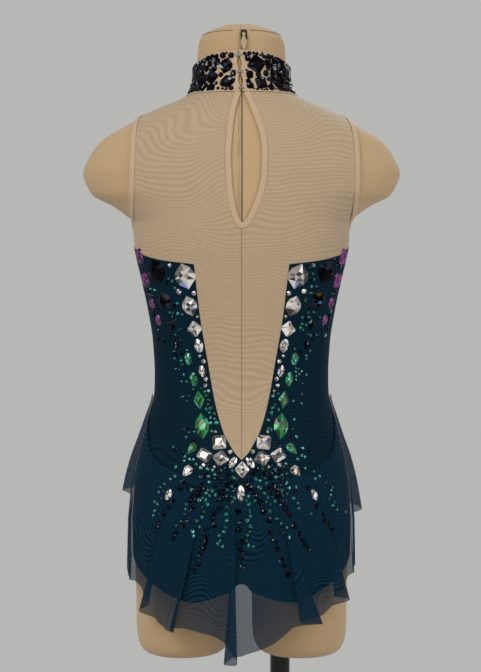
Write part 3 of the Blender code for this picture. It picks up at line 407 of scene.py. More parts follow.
# Round clear stones between the large ones, mirrored as well
ROUND_STONES = [
    # from_centre, height, size
    (77.5, 681.0, 4.4),
    (71.0, 679.5, 5.2),
    (67.5, 652.5, 6.4),
    (51.0, 650.5, 5.2),
    (65.5, 644.0, 3.5),
    (56.5, 622.5, 6.6),
    (47.5, 625.5, 3.5),
    (51.5, 601.5, 5.2),
    (45.0, 604.0, 3.2),
    (45.0, 583.0, 3.6),
    (41.0, 577.0, 5.2),
    (38.0, 558.0, 5.2),
    (39.0, 551.0, 4.6),
    (35.5, 545.0, 3.5),
    (34.5, 483.5, 4.4),
    (12.0, 480.5, 4.8),
    (40.5, 466.5, 4.8),
    (28.0, 501.5, 3.5),
    (29.0, 464.5, 3.4),
]
# Lines of small stones that fan out from the tip of the V
RAYS = [
    # first_x, first_height, last_x, last_height, colour, size, spacing, scatter
    (-61.0, 450.0, -94.0, 394.0, "black", 5.9, 6.5, 1.1),
    (-41.0, 454.0, -57.0, 412.0, "black", 6.4, 6.0, 1.2),
    (-57.0, 410.0, -76.0, 384.0, "black", 5.7, 6.5, 0.9),
    (-20.0, 440.0, -36.0, 397.0, "black", 6.8, 5.7, 2.2),
    (-37.0, 392.0, -50.0, 352.0, "black", 6.6, 7.7, 1.1),
    (-2.5, 419.0, 1.0, 359.0, "black", 6.6, 6.5, 1.4),
    (13.0, 442.0, 30.0, 397.0, "black", 7.0, 5.2, 1.6),
    (30.0, 394.0, 50.0, 350.0, "black", 6.8, 8.2, 1.1),
    (34.0, 444.0, 56.0, 406.0, "black", 7.0, 5.7, 1.6),
    (57.0, 403.0, 72.0, 376.0, "black", 6.4, 7.7, 0.9),
    (70.0, 442.0, 99.0, 391.0, "black", 5.9, 6.5, 1.1),
    (-48.0, 436.0, -72.0, 398.0, "sea", 3.8, 6.9, 2.2),
    (-32.0, 440.0, -55.0, 388.0, "sea", 4.9, 4.8, 2.3),
    (-13.0, 428.0, -24.0, 380.0, "sea", 4.9, 4.6, 2.0),
    (6.0, 442.0, 10.0, 380.0, "sea", 5.1, 4.1, 2.0),
    (22.0, 444.0, 53.0, 386.0, "sea", 4.7, 5.0, 2.3),
    (46.0, 448.0, 70.0, 412.0, "sea", 4.2, 6.9, 2.2),
    (74.0, 462.0, 110.0, 410.0, "sea", 3.8, 5.2, 2.9),
    (-70.0, 464.0, -97.0, 412.0, "sea", 4.0, 4.7, 2.9),
]


CURVE_STEP = 0.5


def curve_through(rows, column):
    """A smooth, never overshooting curve through one column of a table, for arrays."""
    places = [row[0] for row in rows]
    values = [row[column] for row in rows]
    last = len(rows) - 1
    slopes = [(values[i + 1] - values[i]) / (places[i + 1] - places[i]) for i in range(last)]
    tangents = [slopes[0]] + [0.0] * (last - 1) + [slopes[-1]]
    for i in range(1, last):
        if slopes[i - 1] * slopes[i] > 0.0:
            tangents[i] = 2.0 * slopes[i - 1] * slopes[i] / (slopes[i - 1] + slopes[i])
    fine_places = []
    fine_values = []
    for i in range(last):
        span = places[i + 1] - places[i]
        pieces = max(4, math.ceil(span / CURVE_STEP))
        for k in range(pieces + 1):
            s = k / pieces
            rise = values[i + 1] - values[i]
            start = span * tangents[i]
            end = span * tangents[i + 1]
            bend = 3 * rise - 2 * start - end + s * (start + end - 2 * rise)
            fine_places.append(places[i] + span * s)
            fine_values.append(values[i] + s * (start + s * bend))
    return lambda place: np.interp(place, fine_places, fine_values)


section_width = curve_through(BODY_SECTIONS, 1)
section_back = curve_through(BODY_SECTIONS, 2)
section_front = curve_through(BODY_SECTIONS, 3)
section_square = curve_through(BODY_SECTIONS, 4)
v_edge = curve_through(V_EDGE, 1)
keyhole_lean = curve_through(KEYHOLE_LEAN, 1)
leg_line = curve_through(LEG_LINE, 1)
skirt_seam = curve_through(SKIRT_SEAM, 1)
skirt_hem = curve_through(SKIRT_HEM, 1)
skirt_fan = curve_through(SKIRT_FAN, 1)


def unit(vectors):
    return vectors / np.maximum(np.linalg.norm(vectors, axis=-1, keepdims=True), 1e-9)


def oval(direction, across, along, square):
    """Distance from the middle to a rounded outline, in a direction."""
    first = np.abs(np.sin(direction)) / across
    second = np.abs(np.cos(direction)) / along
    return (first ** square + second ** square) ** (-1.0 / square)


def body(turn, height):
    """Point of the torso: turn is 0 at centre back and a quarter at the +X side."""
    turn, height = np.broadcast_arrays(np.asarray(turn, float), np.asarray(height, float))
    direction = turn + SIDE_CROWDING * np.sin(2.0 * turn)
    depth = np.where(np.cos(direction) > 0, section_back(height), section_front(height))
    reach = oval(direction, section_width(height), depth, section_square(height))
    return np.stack([reach * np.sin(direction), -reach * np.cos(direction), height], -1)


def turn_at(x, height):
    """Turn of the back point that lies x from the middle of the body."""
    x, height = np.broadcast_arrays(np.asarray(x, float), np.asarray(height, float))
    square = section_square(height)
    share = np.minimum(np.abs(x) / section_width(height), 1.0)
    depth = section_back(height) * (1.0 - share ** square) ** (1.0 / square)
    direction = np.arctan2(np.abs(x), depth)
    turn = direction
    for _ in range(TURN_ROUNDS):
        turn = turn - (turn + SIDE_CROWDING * np.sin(2.0 * turn) - direction) * TURN_EASE
    return np.copysign(turn, x)


def frame_of(surface, first, second, step_one=0.02, step_two=0.6):
    """Point, outward normal, direction of the first value and of the second."""
    across = surface(first + step_one, second) - surface(first - step_one, second)
    along = surface(first, second + step_two) - surface(first, second - step_two)
    normal = unit(np.cross(across, along))
    return surface(first, second), normal, unit(across), unit(along)


def body_lifted(turn, height, lift):
    point, normal, _, _ = frame_of(body, np.asarray(turn, float), np.asarray(height, float))
    return point + normal * np.asarray(lift, float)[..., None]


def leg_top(turn):
    depth = np.where(np.cos(turn) > 0, section_back(HIP_LEVEL), section_front(HIP_LEVEL))
    reach = oval(turn, CROTCH_DROP, depth, CROTCH_SQUARE)
    inner = np.stack([0.0 * turn, -reach * np.cos(turn), HIP_LEVEL + reach * np.sin(turn)], -1)
    return np.where((turn >= 0.0)[..., None], body(turn, HIP_LEVEL), inner)


def thigh_direction(turn):
    outer = -CROTCH_CORNER + turn * (HALF_TURN + 2 * CROTCH_CORNER) / HALF_TURN
    inner = -QUARTER + (turn + QUARTER) * (QUARTER - CROTCH_CORNER) / QUARTER
    return np.where(turn >= 0.0, outer, inner)


def leg(turn, down):
    """Point of the +X leg: down is 0 at the top loop and 1 at the thigh."""
    turn, down = np.broadcast_arrays(np.asarray(turn, float), np.asarray(down, float))
    turn = np.where(turn > HALF_TURN + 1e-6, turn - 2 * HALF_TURN, turn)
    start = leg_top(turn)
    direction = thigh_direction(turn)
    end = np.stack([
        THIGH_CENTRE_X + THIGH_HALF_WIDTH * np.sin(direction),
        THIGH_CENTRE_Y - THIGH_HALF_DEPTH * np.cos(direction),
        THIGH_LEVEL + 0.0 * direction,
    ], -1)
    near_corner = np.minimum(np.abs(turn), np.abs(HALF_TURN - np.abs(turn))) / CORNER_BLEND
    inner = 0.5 - 0.5 * np.copysign(np.minimum(near_corner, 1.0), turn)
    inner = np.where(np.abs(turn) > HALF_TURN - 1e-6, 0.5, inner)
    heading = unit(np.stack([inner, 0.0 * inner, inner - 1.0], -1))
    leave = heading * (INNER_PULL * inner + SEAT_PULL * (1.0 - inner))[..., None]
    arrive = np.array([0.0, 0.0, -THIGH_PULL])
    s = down[..., None]
    s2 = s * s
    s3 = s2 * s
    return (
        start * (2 * s3 - 3 * s2 + 1)
        + leave * (s3 - 2 * s2 + s)
        + end * (3 * s2 - 2 * s3)
        + arrive * (s3 - s2)
    )


LEG_TURN_STEP = 0.03
LEG_DOWN_STEP = 0.02


def leg_frame(turn, down):
    """Point and outward normal of the leg."""
    low = np.maximum(down - LEG_DOWN_STEP, 0.0)
    across = leg(turn + LEG_TURN_STEP, down) - leg(turn - LEG_TURN_STEP, down)
    along = leg(turn, low) - leg(turn, down + LEG_DOWN_STEP)
    return leg(turn, down), unit(np.cross(across, along))


HALVINGS = 24


def leg_line_share(turn):
    """How far down the leg a column of the brief ends."""
    direction = np.degrees(thigh_direction(turn))
    direction = np.where(direction < -90.01, direction + 360.0, direction)
    low = np.zeros_like(turn)
    high = np.ones_like(turn)
    for _ in range(HALVINGS):
        middle = (low + high) / 2
        above = leg(turn, middle)[..., 2] > leg_line(direction)
        low = np.where(above, middle, low)
        high = np.where(above, high, middle)
    return high


def half_wave(share):
    """Smooth rise from 0 to 1."""
    return 0.5 - 0.5 * np.cos(HALF_TURN * np.clip(share, 0.0, 1.0))


def round_the_back(turn):
    """The same turn, counted from centre back to either side."""
    return (turn + HALF_TURN) % (2 * HALF_TURN) - HALF_TURN


def pleat_path(p, width):
    """Where the cloth of a flat pleat lies, for p from -1 to 1: out, back, and out again."""
    edge = width / 2
    far = edge + PLEAT_MARGIN
    first = -far + (edge + far) * half_wave((p + 1.0) * 1.5)
    second = edge - width * half_wave((p + 1.0 / 3.0) * 1.5)
    third = -edge + (far + edge) * half_wave((p - 1.0 / 3.0) * 1.5)
    return np.where(p < -1.0 / 3.0, first, np.where(p < 1.0 / 3.0, second, third))


def skirt(hem_turn, down):
    """Middle of the skirt's cloth: down is 0 at its seam and 1 at its hem."""
    hem_turn, down = np.broadcast_arrays(np.asarray(hem_turn, float), np.asarray(down, float))
    round_back = round_the_back(hem_turn)
    at_seam = skirt_fan(np.degrees(round_back))
    turn = hem_turn + (np.radians(at_seam) - round_back) * (1.0 - down)
    seam = skirt_seam(np.abs(at_seam))
    height = seam + (skirt_hem(np.degrees(round_back)) - seam) * down
    out = np.zeros_like(turn)
    shift = np.zeros_like(turn)
    for direction, width, depth, overlap, start in SKIRT_FOLDS:
        gap = round_the_back(round_back - math.radians(direction))
        phase = gap * SKIRT_RADIUS / (width / 2)
        near = np.abs(phase) < 1.0
        grown = np.clip((down - start) / (1.0 - start), 0.0, 1.0) ** FOLD_GROWTH
        out = out + np.where(near, depth * np.cos(phase * QUARTER) ** 2, 0.0) * grown
        shift = shift + np.where(near, overlap * np.sin(phase * HALF_TURN), 0.0) * grown
    for direction, width, depth, side, start in PLEATS:
        gap = round_the_back(round_back - math.radians(direction)) * SKIRT_RADIUS
        far = width / 2 + PLEAT_MARGIN
        p = gap / far * side
        near = np.abs(p) < 1.0
        grown = np.clip((down - start) / (1.0 - start), 0.0, 1.0)
        moved = side * pleat_path(p, width) - gap
        shift = shift + np.where(near, moved, 0.0) * grown
        layer = -depth * np.sin(HALF_TURN * p) * np.minimum(3.0 * grown, 1.0)
        out = out + np.where(near, layer, 0.0)
    side_share = np.sin(turn) ** 2
    flare = SKIRT_FLARE_BACK + (SKIRT_FLARE_SIDE - SKIRT_FLARE_BACK) * side_share
    level = np.maximum(height, HIP_LEVEL)
    base = body_lifted(turn + shift / SKIRT_RADIUS, level, SKIRT_LIFT + 0.0 * turn)
    flat = base * np.array([1.0, 1.0, 0.0])
    spot = base + unit(flat) * (flare * down + out)[..., None]
    spot[..., 2] = height
    return spot


def size_of(name):
    """One of the user's sizes, in millimetres."""
    return getattr(bpy.context.scene.leotard_sizes, name) / MM


SHARP_ANGLE = math.radians(50)


def add_mesh(name, points, faces, key, replaced=(), uv=None, smooth=True):
    """One piece from points in millimetres, riding on the frame's fixed body."""
    mesh = bpy.data.meshes.new(name)
    mesh.from_pydata((np.asarray(points) * MM).tolist(), [], faces)
    if uv is not None:
        layer = mesh.uv_layers.new(name="cloth")
        corners = np.zeros(len(mesh.loops), int)
        mesh.loops.foreach_get("vertex_index", corners)
        layer.data.foreach_set("uv", (np.asarray(uv) * MM)[corners].ravel())
    mesh.validate()
    mesh.materials.append(finish_of(key))
    if smooth:
        mesh.shade_smooth()
        mesh.set_sharp_from_angle(angle=SHARP_ANGLE)
    piece = bpy.data.objects.new(name, mesh)
    bpy.context.scene.collection.objects.link(piece)
    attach(piece, "root")
    if replaced:
        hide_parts(*replaced)
    return piece


def grid_faces(columns, rows, closed=False, start=0):
    faces = []
    for a in range(columns if closed else columns - 1):
        b = (a + 1) % columns
        for row in range(rows - 1):
            faces.append((
                start + a * rows + row, start + b * rows + row,
                start + b * rows + row + 1, start + a * rows + row + 1,
            ))
    return faces


def shell_from_sheet(outer, inner, faces):
    """Close a sheet of faces into a thin wall with an inside and an edge."""
    count = len(outer)
    points = np.concatenate([outer, inner])
    seen = {}
    for face in faces:
        for a, b in zip(face, face[1:] + face[:1]):
            seen[(a, b)] = seen.get((a, b), 0) + 1
    walls = [tuple(face) for face in faces]
    walls += [tuple(i + count for i in reversed(face)) for face in faces]
    for a, b in seen:
        if (b, a) not in seen:
            walls.append((b, a, a + count, b + count))
    return points, walls


def add_cloth(name, node, key, sheet, uv):
    """One sheet of cloth as a thin shell, laid over its solid."""
    points, walls = shell_from_sheet(*sheet)
    return add_mesh(name, points, walls, key, (node,), np.concatenate([uv, uv]))


def paired(first, second):
    """Two arrays, spread over each other, as rows of two values."""
    return np.stack(np.broadcast_arrays(first, second), -1).reshape(-1, 2)


def length_along(points):
    """Distance of every point from the first one, along the line."""
    return np.concatenate([[0.0], np.cumsum(np.linalg.norm(np.diff(points, axis=0), axis=1))])


def inside(x, y, loops):
    crossed = np.zeros(np.shape(x), bool)
    for loop in loops:
        for a, b in zip(loop, np.roll(loop, -1, 0)):
            if a[1] == b[1]:
                continue
            spans = (a[1] > y) != (b[1] > y)
            crossed ^= spans & (x < a[0] + (y - a[1]) * (b[0] - a[0]) / (b[1] - a[1]))
    return crossed


def distance_to(x, y, loops):
    nearest = np.full(np.shape(x), 1e9)
    spot = np.stack([x, y], -1)
    for loop in loops:
        for a, b in zip(loop, np.roll(loop, -1, 0)):
            along = b - a
            s = np.clip(((spot - a) @ along) / max(along @ along, 1e-12), 0.0, 1.0)
            nearest = np.minimum(nearest, np.linalg.norm(spot - a - s[..., None] * along, axis=-1))
    return nearest


def divided(loop, step):
    made = []
    for here, there in zip(loop, np.roll(loop, -1, 0)):
        pieces = max(1, math.ceil(np.linalg.norm(there - here) / step))
        made += [here + (there - here) * i / pieces for i in range(pieces)]
    return np.array(made)


EDGE_CLEARANCE = 0.5
CHART_JOIN = 1e-4


def chart_panel(loops, step):
    """Points and triangles that fill an outline of the body's chart."""
    loops = [divided(np.asarray(loop, float), step) for loop in loops]
    every = np.concatenate(loops)
    low = every.min(0)
    high = every.max(0)
    xs = np.arange(low[0], high[0], step)
    ys = np.arange(low[1], high[1], step)
    grid_x, grid_y = np.meshgrid(xs, ys, indexing="ij")
    grid_x = grid_x + np.where(np.arange(len(ys)) % 2, step / 2, 0.0)
    keep = inside(grid_x, grid_y, loops) & (distance_to(grid_x, grid_y, loops) > step * EDGE_CLEARANCE)
    spots = np.stack([grid_x[keep], grid_y[keep]], -1)
    points = []
    edges = []
    for loop in loops:
        start = len(points)
        points += [Vector(p) for p in loop]
        edges += [(start + i, start + (i + 1) % len(loop)) for i in range(len(loop))]
    points += [Vector(p) for p in spots]
    result = delaunay_2d_cdt(points, edges, [], 0, CHART_JOIN)
    places = np.array([(p.x, p.y) for p in result[0]])
    triangles = np.array(result[2])
    middles = places[triangles].mean(1)
    kept = triangles[inside(middles[:, 0], middles[:, 1], loops)]
    a, b, c = (places[kept[:, i]] for i in range(3))
    turned = np.cross(b - a, c - a) < 0
    kept[turned] = kept[turned][:, ::-1]
    return places, [tuple(int(i) for i in face) for face in kept]


def samples(rows, most):
    made = []
    for low, high in zip(rows, rows[1:]):
        pieces = max(1, math.ceil((high[0] - low[0]) / most))
        made += [low[0] + (high[0] - low[0]) * i / pieces for i in range(pieces)]
    return np.array(made + [rows[-1][0]])


def edge_curve(rows, lean=0.0, most=3.0):
    """Chart points of an edge that a table gives, from its bottom to its top."""
    heights = samples(rows, most)
    xs = curve_through(rows, 1)(heights) + lean * keyhole_lean(heights)
    return np.stack([turn_at(xs, heights) * CHART_RADIUS, heights], -1)


def mirrored(loop):
    return (np.asarray(loop) * np.array([-1.0, 1.0]))[::-1]


def over_to_front(curve):
    return np.stack([HALF_TURN * CHART_RADIUS - curve[:, 0], curve[:, 1]], -1)


def to_other_side(curve):
    """An edge of the front, mirrored to its other side."""
    return np.stack([2 * HALF_TURN * CHART_RADIUS - curve[:, 0], curve[:, 1]], -1)[::-1]


def armhole_curve(rows):
    """Back half of an armhole's outline, its ends on the side line."""
    curve = edge_curve(rows)
    curve[0, 0] = QUARTER * CHART_RADIUS
    curve[-1, 0] = QUARTER * CHART_RADIUS
    return curve


def teal_back_edge():
    """Upper edge of the teal back: side seam to corner, then down to the V tip."""
    rising = TEAL_TOP[::-1]
    height_at = curve_through(rising, 1)
    xs = np.linspace(TEAL_TOP[0][0], rising[0][0], 31)[:-1]
    zs = height_at(xs)
    top = np.stack([turn_at(xs, zs) * CHART_RADIUS, zs], -1)
    top[0, 0] = QUARTER * CHART_RADIUS
    return np.concatenate([top, edge_curve(V_EDGE)[::-1]])


def bust_line():
    """Top edge of the teal front, from one side seam to the other."""
    height = curve_through(BUST_EDGE, 1)
    shares = np.linspace(0.5, 1.0, 41)
    half = np.stack([HALF_TURN * shares * CHART_RADIUS, height(shares)], -1)
    return np.concatenate([half, to_other_side(half)[1:]])


CREASES = [
    # from turn, height, to turn, height, width, depth
    (0.62, 560.0, 1.35, 548.0, 5.0, 0.5),
    (0.70, 548.0, 1.40, 528.0, 6.0, 0.45),
    (-0.58, 556.0, -1.38, 541.0, 5.0, 0.5),
    (-0.74, 541.0, -1.44, 520.0, 6.5, 0.4),
    (0.30, 470.0, 0.95, 425.0, 7.0, 0.35),
    (-0.34, 468.0, -1.00, 420.0, 7.0, 0.35),
    (1.70, 556.0, 2.50, 548.0, 6.0, 0.5),
    (4.52, 552.0, 3.80, 560.0, 6.0, 0.45),
    (1.75, 532.0, 2.35, 520.0, 7.0, 0.4),
    (1.30, 735.0, 0.85, 780.0, 5.0, 0.35),
    (-1.28, 733.0, -0.88, 774.0, 5.0, 0.35),
    (1.84, 735.0, 2.30, 782.0, 5.0, 0.35),
    (4.44, 735.0, 4.02, 776.0, 5.0, 0.35),
]


def crease_lift(turn, height):
    """Soft ridges and troughs of the stretched cloth."""
    lift = np.zeros(np.shape(turn))
    spot = np.stack([turn * CHART_RADIUS, height], -1)
    for turn_a, height_a, turn_b, height_b, width, depth in CREASES:
        a = np.array([turn_a * CHART_RADIUS, height_a])
        b = np.array([turn_b * CHART_RADIUS, height_b])
        along = b - a
        s = np.clip(((spot - a) @ along) / (along @ along), 0.0, 1.0)
        gap = np.linalg.norm(spot - a - s[..., None] * along, axis=-1)
        lift += depth * np.exp(-((gap / width) ** 2)) * np.sin(HALF_TURN * s) ** 0.5
    return lift


def torso_panel(loops, lift, thick, step):
    """Thin shell over the torso inside chart outlines, with its chart as UV."""
    places, triangles = chart_panel(loops, step)
    turn = places[:, 0] / CHART_RADIUS
    raised = lift + crease_lift(turn, places[:, 1])
    outer = body_lifted(turn, places[:, 1], raised + thick)
    inner = body_lifted(turn, places[:, 1], raised)
    return outer, inner, triangles, places


def new_group(name, inputs, outputs):
    group = bpy.data.node_groups.new(name, "ShaderNodeTree")
    for socket, kind, value in inputs:
        made = group.interface.new_socket(socket, in_out="INPUT", socket_type=kind)
        if value is not None:
            made.default_value = value
    for socket, kind in outputs:
        group.interface.new_socket(socket, in_out="OUTPUT", socket_type=kind)
    return group, group.nodes.new("NodeGroupInput"), group.nodes.new("NodeGroupOutput")


def math_node(tree, operation, first, second=None):
    node = tree.nodes.new("ShaderNodeMath")
    node.operation = operation
    for socket, value in zip(node.inputs, (first, second)):
        if value is None:
            continue
        if isinstance(value, (int, float)):
            socket.default_value = value
        else:
            tree.links.new(value, socket)
    return node.outputs[0]


def weave_group():
    """Threads that cross: a height for bump, and painted shade that darkens the gaps between them."""
    inputs = [
        ("Vector", "NodeSocketVector", None),
        ("Across", "NodeSocketFloat", 900.0),
        ("Along", "NodeSocketFloat", 900.0),
        ("Dark", "NodeSocketFloat", 0.15),
    ]
    outputs = [("Height", "NodeSocketFloat"), ("Shade", "NodeSocketFloat")]
    tree, start, end = new_group("thread_weave", inputs, outputs)
    split = tree.nodes.new("ShaderNodeSeparateXYZ")
    tree.links.new(start.outputs["Vector"], split.inputs[0])
    waves = []
    for axis, count in (("X", "Across"), ("Y", "Along")):
        turned = math_node(tree, "MULTIPLY", split.outputs[axis], start.outputs[count])
        turned = math_node(tree, "MULTIPLY", turned, 2 * HALF_TURN)
        waves.append(math_node(tree, "SINE", turned))
    both = math_node(tree, "MULTIPLY", waves[0], waves[1])
    height = math_node(tree, "MULTIPLY_ADD", both, 0.5)
    height.node.inputs[2].default_value = 0.5
    tree.links.new(height, end.inputs["Height"])
    # Painted shade: the low parts of the weave, the gaps between threads, are darkened
    down = math_node(tree, "SUBTRACT", 1.0, height)
    dark = math_node(tree, "MULTIPLY", down, start.outputs["Dark"])
    shade = math_node(tree, "SUBTRACT", 1.0, dark)
    tree.links.new(shade, end.inputs["Shade"])


def band_group():
    """Soft curving light and dark bands, as two fine layers of net give."""
    inputs = [
        ("Vector", "NodeSocketVector", None),
        ("Bands", "NodeSocketFloat", 260.0),
        ("Wander", "NodeSocketFloat", 0.01),
        ("Strength", "NodeSocketFloat", 0.1),
    ]
    tree, start, end = new_group("net_bands", inputs, [("Shade", "NodeSocketFloat")])
    noise = tree.nodes.new("ShaderNodeTexNoise")
    noise.inputs["Scale"].default_value = 9.0
    noise.inputs["Detail"].default_value = 1.0
    tree.links.new(start.outputs["Vector"], noise.inputs["Vector"])
    split = tree.nodes.new("ShaderNodeSeparateXYZ")
    tree.links.new(start.outputs["Vector"], split.inputs[0])
    curve = math_node(tree, "MULTIPLY", noise.outputs["Fac"], start.outputs["Wander"])
    place = math_node(tree, "ADD", split.outputs["Y"], curve)
    turned = math_node(tree, "MULTIPLY", place, start.outputs["Bands"])
    turned = math_node(tree, "MULTIPLY", turned, 2 * HALF_TURN)
    wave = math_node(tree, "SINE", turned)
    strong = math_node(tree, "MULTIPLY", wave, start.outputs["Strength"])
    shade = math_node(tree, "ADD", 1.0, strong)
    tree.links.new(shade, end.inputs["Shade"])


def mottle_group():
    """Slow, cloudy change of shade over a surface."""
    inputs = [
        ("Vector", "NodeSocketVector", None),
        ("Size", "NodeSocketFloat", 30.0),
        ("Strength", "NodeSocketFloat", 0.1),
    ]
    tree, start, end = new_group("cloudy_shade", inputs, [("Shade", "NodeSocketFloat")])
    noise = tree.nodes.new("ShaderNodeTexNoise")
    noise.inputs["Detail"].default_value = 3.0
    tree.links.new(start.outputs["Vector"], noise.inputs["Vector"])
    tree.links.new(start.outputs["Size"], noise.inputs["Scale"])
    centred = math_node(tree, "SUBTRACT", noise.outputs["Fac"], 0.5)
    strong = math_node(tree, "MULTIPLY", centred, start.outputs["Strength"])
    shade = math_node(tree, "ADD", 1.0, strong)
    tree.links.new(shade, end.inputs["Shade"])


def facet_reflection_group():
    """Colour of a stone, multiplied by the painted reflection of each facet."""
    inputs = [("Colour", "NodeSocketColor", None), ("Tint", "NodeSocketVector", None)]
    tree, start, end = new_group("facet_tint", inputs, [("Colour", "NodeSocketColor")])
    mix = tree.nodes.new("ShaderNodeVectorMath")
    mix.operation = "MULTIPLY"
    tree.links.new(start.outputs["Colour"], mix.inputs[0])
    tree.links.new(start.outputs["Tint"], mix.inputs[1])
    tree.links.new(mix.outputs[0], end.inputs["Colour"])


class Finish:
    """A material whose colour, roughness and bump are put together step by step."""

    def __init__(self, name, colour, roughness, metallic=0.0, **sockets):
        self.made = bpy.data.materials.new(name)
        self.made.use_nodes = True
        self.tree = self.made.node_tree
        self.shader = self.tree.nodes["Principled BSDF"]
        self.shader.inputs["Base Color"].default_value = (*colour, 1.0)
        self.shader.inputs["Roughness"].default_value = roughness
        self.shader.inputs["Metallic"].default_value = metallic
        for socket, value in sockets.items():
            self.shader.inputs[socket.replace("_", " ")].default_value = value
        self.start = colour
        self.colour = None

    def uv(self):
        node = self.tree.nodes.new("ShaderNodeUVMap")
        node.uv_map = "cloth"
        return node.outputs["UV"]

    def place(self):
        return self.tree.nodes.new("ShaderNodeTexCoord").outputs["Object"]

    def group(self, name, vector, **values):
        node = self.tree.nodes.new("ShaderNodeGroup")
        node.node_tree = bpy.data.node_groups[name]
        self.tree.links.new(vector, node.inputs["Vector"])
        for socket, value in values.items():
            node.inputs[socket].default_value = value
        return node.outputs

    def shade(self, value):
        """Darken or lighten the colour by a value near 1."""
        mix = self.tree.nodes.new("ShaderNodeVectorMath")
        mix.operation = "SCALE"
        if self.colour is None:
            mix.inputs[0].default_value = self.start
        else:
            self.tree.links.new(self.colour, mix.inputs[0])
        self.tree.links.new(value, mix.inputs["Scale"])
        self.colour = mix.outputs[0]
        self.tree.links.new(self.colour, self.shader.inputs["Base Color"])

    def clouded(self, size, strength):
        self.shade(self.group("cloudy_shade", self.place(), Size=size, Strength=strength)["Shade"])

    def banded(self, bands, wander, strength):
        made = self.group("net_bands", self.uv(), Bands=bands, Wander=wander, Strength=strength)
        self.shade(made["Shade"])

    def woven(self, across, along, dark, deep):
        """Threads for each metre, how much painted shade darkens the gaps, and how deep they are."""
        threads = self.group("thread_weave", self.uv(), Across=across, Along=along, Dark=dark)
        self.shade(threads["Shade"])
        bump = self.tree.nodes.new("ShaderNodeBump")
        bump.inputs["Distance"].default_value = deep
        self.tree.links.new(threads["Height"], bump.inputs["Height"])
        self.tree.links.new(bump.outputs[0], self.shader.inputs["Normal"])

    def paint_reflections(self):
        """Multiply the colour by the painted reflection that the mesh holds for each face."""
        # The facet attribute holds each face's painted reflection
        facet = self.tree.nodes.new("ShaderNodeAttribute")
        facet.attribute_name = "facet"
        mix = self.tree.nodes.new("ShaderNodeGroup")
        mix.node_tree = bpy.data.node_groups["facet_tint"]
        mix.inputs["Colour"].default_value = (*self.start, 1.0)
        self.tree.links.new(facet.outputs["Color"], mix.inputs["Tint"])
        self.tree.links.new(mix.outputs["Colour"], self.shader.inputs["Base Color"])


def cloth_finishes(colours):
    """Cover of the form, stretch cloth, net, elastic and sheer net."""
    cover = Finish("knitted_form_cover", colours.form, 0.86, Sheen_Weight=0.25, Sheen_Roughness=0.4)
    cover.clouded(size=7.0, strength=0.10)
    cover.clouded(size=260.0, strength=0.10)
    cover.woven(across=620.0, along=760.0, dark=0.10, deep=0.00022)

    teal = Finish("teal_stretch_cloth", colours.teal, 0.75, Sheen_Weight=0.03, Sheen_Roughness=0.35)
    teal.shader.inputs["Sheen Tint"].default_value = (0.2, 0.55, 0.8, 1.0)
    teal.shader.inputs["Specular IOR Level"].default_value = 0.06
    teal.clouded(size=9.0, strength=0.35)
    teal.banded(bands=300.0, wander=0.09, strength=0.26)
    teal.woven(across=900.0, along=900.0, dark=0.25, deep=0.00012)

    net = Finish("nude_net", colours.net, 0.8, Sheen_Weight=0.2)
    net.banded(bands=225.0, wander=0.11, strength=0.07)
    net.clouded(size=240.0, strength=0.16)
    net.woven(across=700.0, along=520.0, dark=0.2, deep=0.00018)

    elastic = Finish("nude_elastic", colours.elastic, 0.75, Sheen_Weight=0.2)
    elastic.woven(across=330.0, along=330.0, dark=0.35, deep=0.0003)

    sheer = Finish("sheer_net", colours.sheer, 0.75, Alpha=0.52, Sheen_Weight=0.02)
    sheer.shader.inputs["Specular IOR Level"].default_value = 0.05
    sheer.banded(bands=290.0, wander=0.14, strength=0.5)
    sheer.woven(across=700.0, along=700.0, dark=0.3, deep=0.0001)
    sheer.made.surface_render_method = "DITHERED"
    return {"cover": cover, "teal": teal, "net": net, "elastic": elastic, "sheer": sheer}


def stone_finishes(colours):
    """Crystals whose facets carry painted reflections and glints, a colour factor for each facet."""
    made = {}
    for key, name, colour, rough, metal, coat in (
        ("clear", "clear_crystal", colours.clear, 0.10, 0.55, 0.6),
        ("black", "black_crystal", colours.black, 0.10, 0.0, 0.0),
        ("green", "green_crystal", colours.green, 0.12, 0.35, 0.5),
        ("magenta", "magenta_crystal", colours.magenta, 0.14, 0.35, 0.4),
        ("sea", "sea_green_crystal", colours.sea_green, 0.12, 0.35, 0.5),
    ):
        made[key] = Finish(name, colour, rough, metal, Coat_Weight=coat, Coat_Roughness=0.04)
        made[key].paint_reflections()
    made["black"].shader.inputs["Specular IOR Level"].default_value = 0.04
    return made


def hard_finishes():
    """Metals, the gloss of the stand, and the threads of the seams."""
    made = {}
    for key, name, colour, rough, metal, size, strength in (
        ("silver", "silver_metal", (0.34, 0.33, 0.32), 0.24, 1.0, 900.0, 0.25),
        ("dark", "dark_metal", (0.06, 0.055, 0.05), 0.35, 1.0, 700.0, 0.5),
        ("brass", "pale_brass", (0.72, 0.58, 0.36), 0.28, 1.0, 600.0, 0.35),
        ("gloss", "black_gloss", (0.006, 0.006, 0.006), 0.16, 0.0, 60.0, 0.5),
        ("thread", "seam_thread", (0.30, 0.215, 0.135), 0.8, 0.0, 900.0, 0.3),
        ("zip", "zip_line", (0.15, 0.10, 0.06), 0.8, 0.0, 900.0, 0.3),
    ):
        made[key] = Finish(name, colour, rough, metal)
        made[key].clouded(size, strength)
    made["gloss"].shader.inputs["Coat Weight"].default_value = 0.15
    made["gloss"].shader.inputs["Specular IOR Level"].default_value = 0.25
    return made


finishes = {}


def finish_of(key):
    """One of the materials, all of which are made when the first is asked for."""
    if not finishes:
        colours = bpy.context.scene.leotard_colours
        weave_group()
        band_group()
        mottle_group()
        facet_reflection_group()
        made = {**cloth_finishes(colours), **stone_finishes(colours), **hard_finishes()}
        finishes.update({name: finish.made for name, finish in made.items()})
    return finishes[key]


FORM_STEP = 4.0
LEG_LEVELS = 27
JOIN_DISTANCE = 0.00001
LEG_COLUMNS = 160


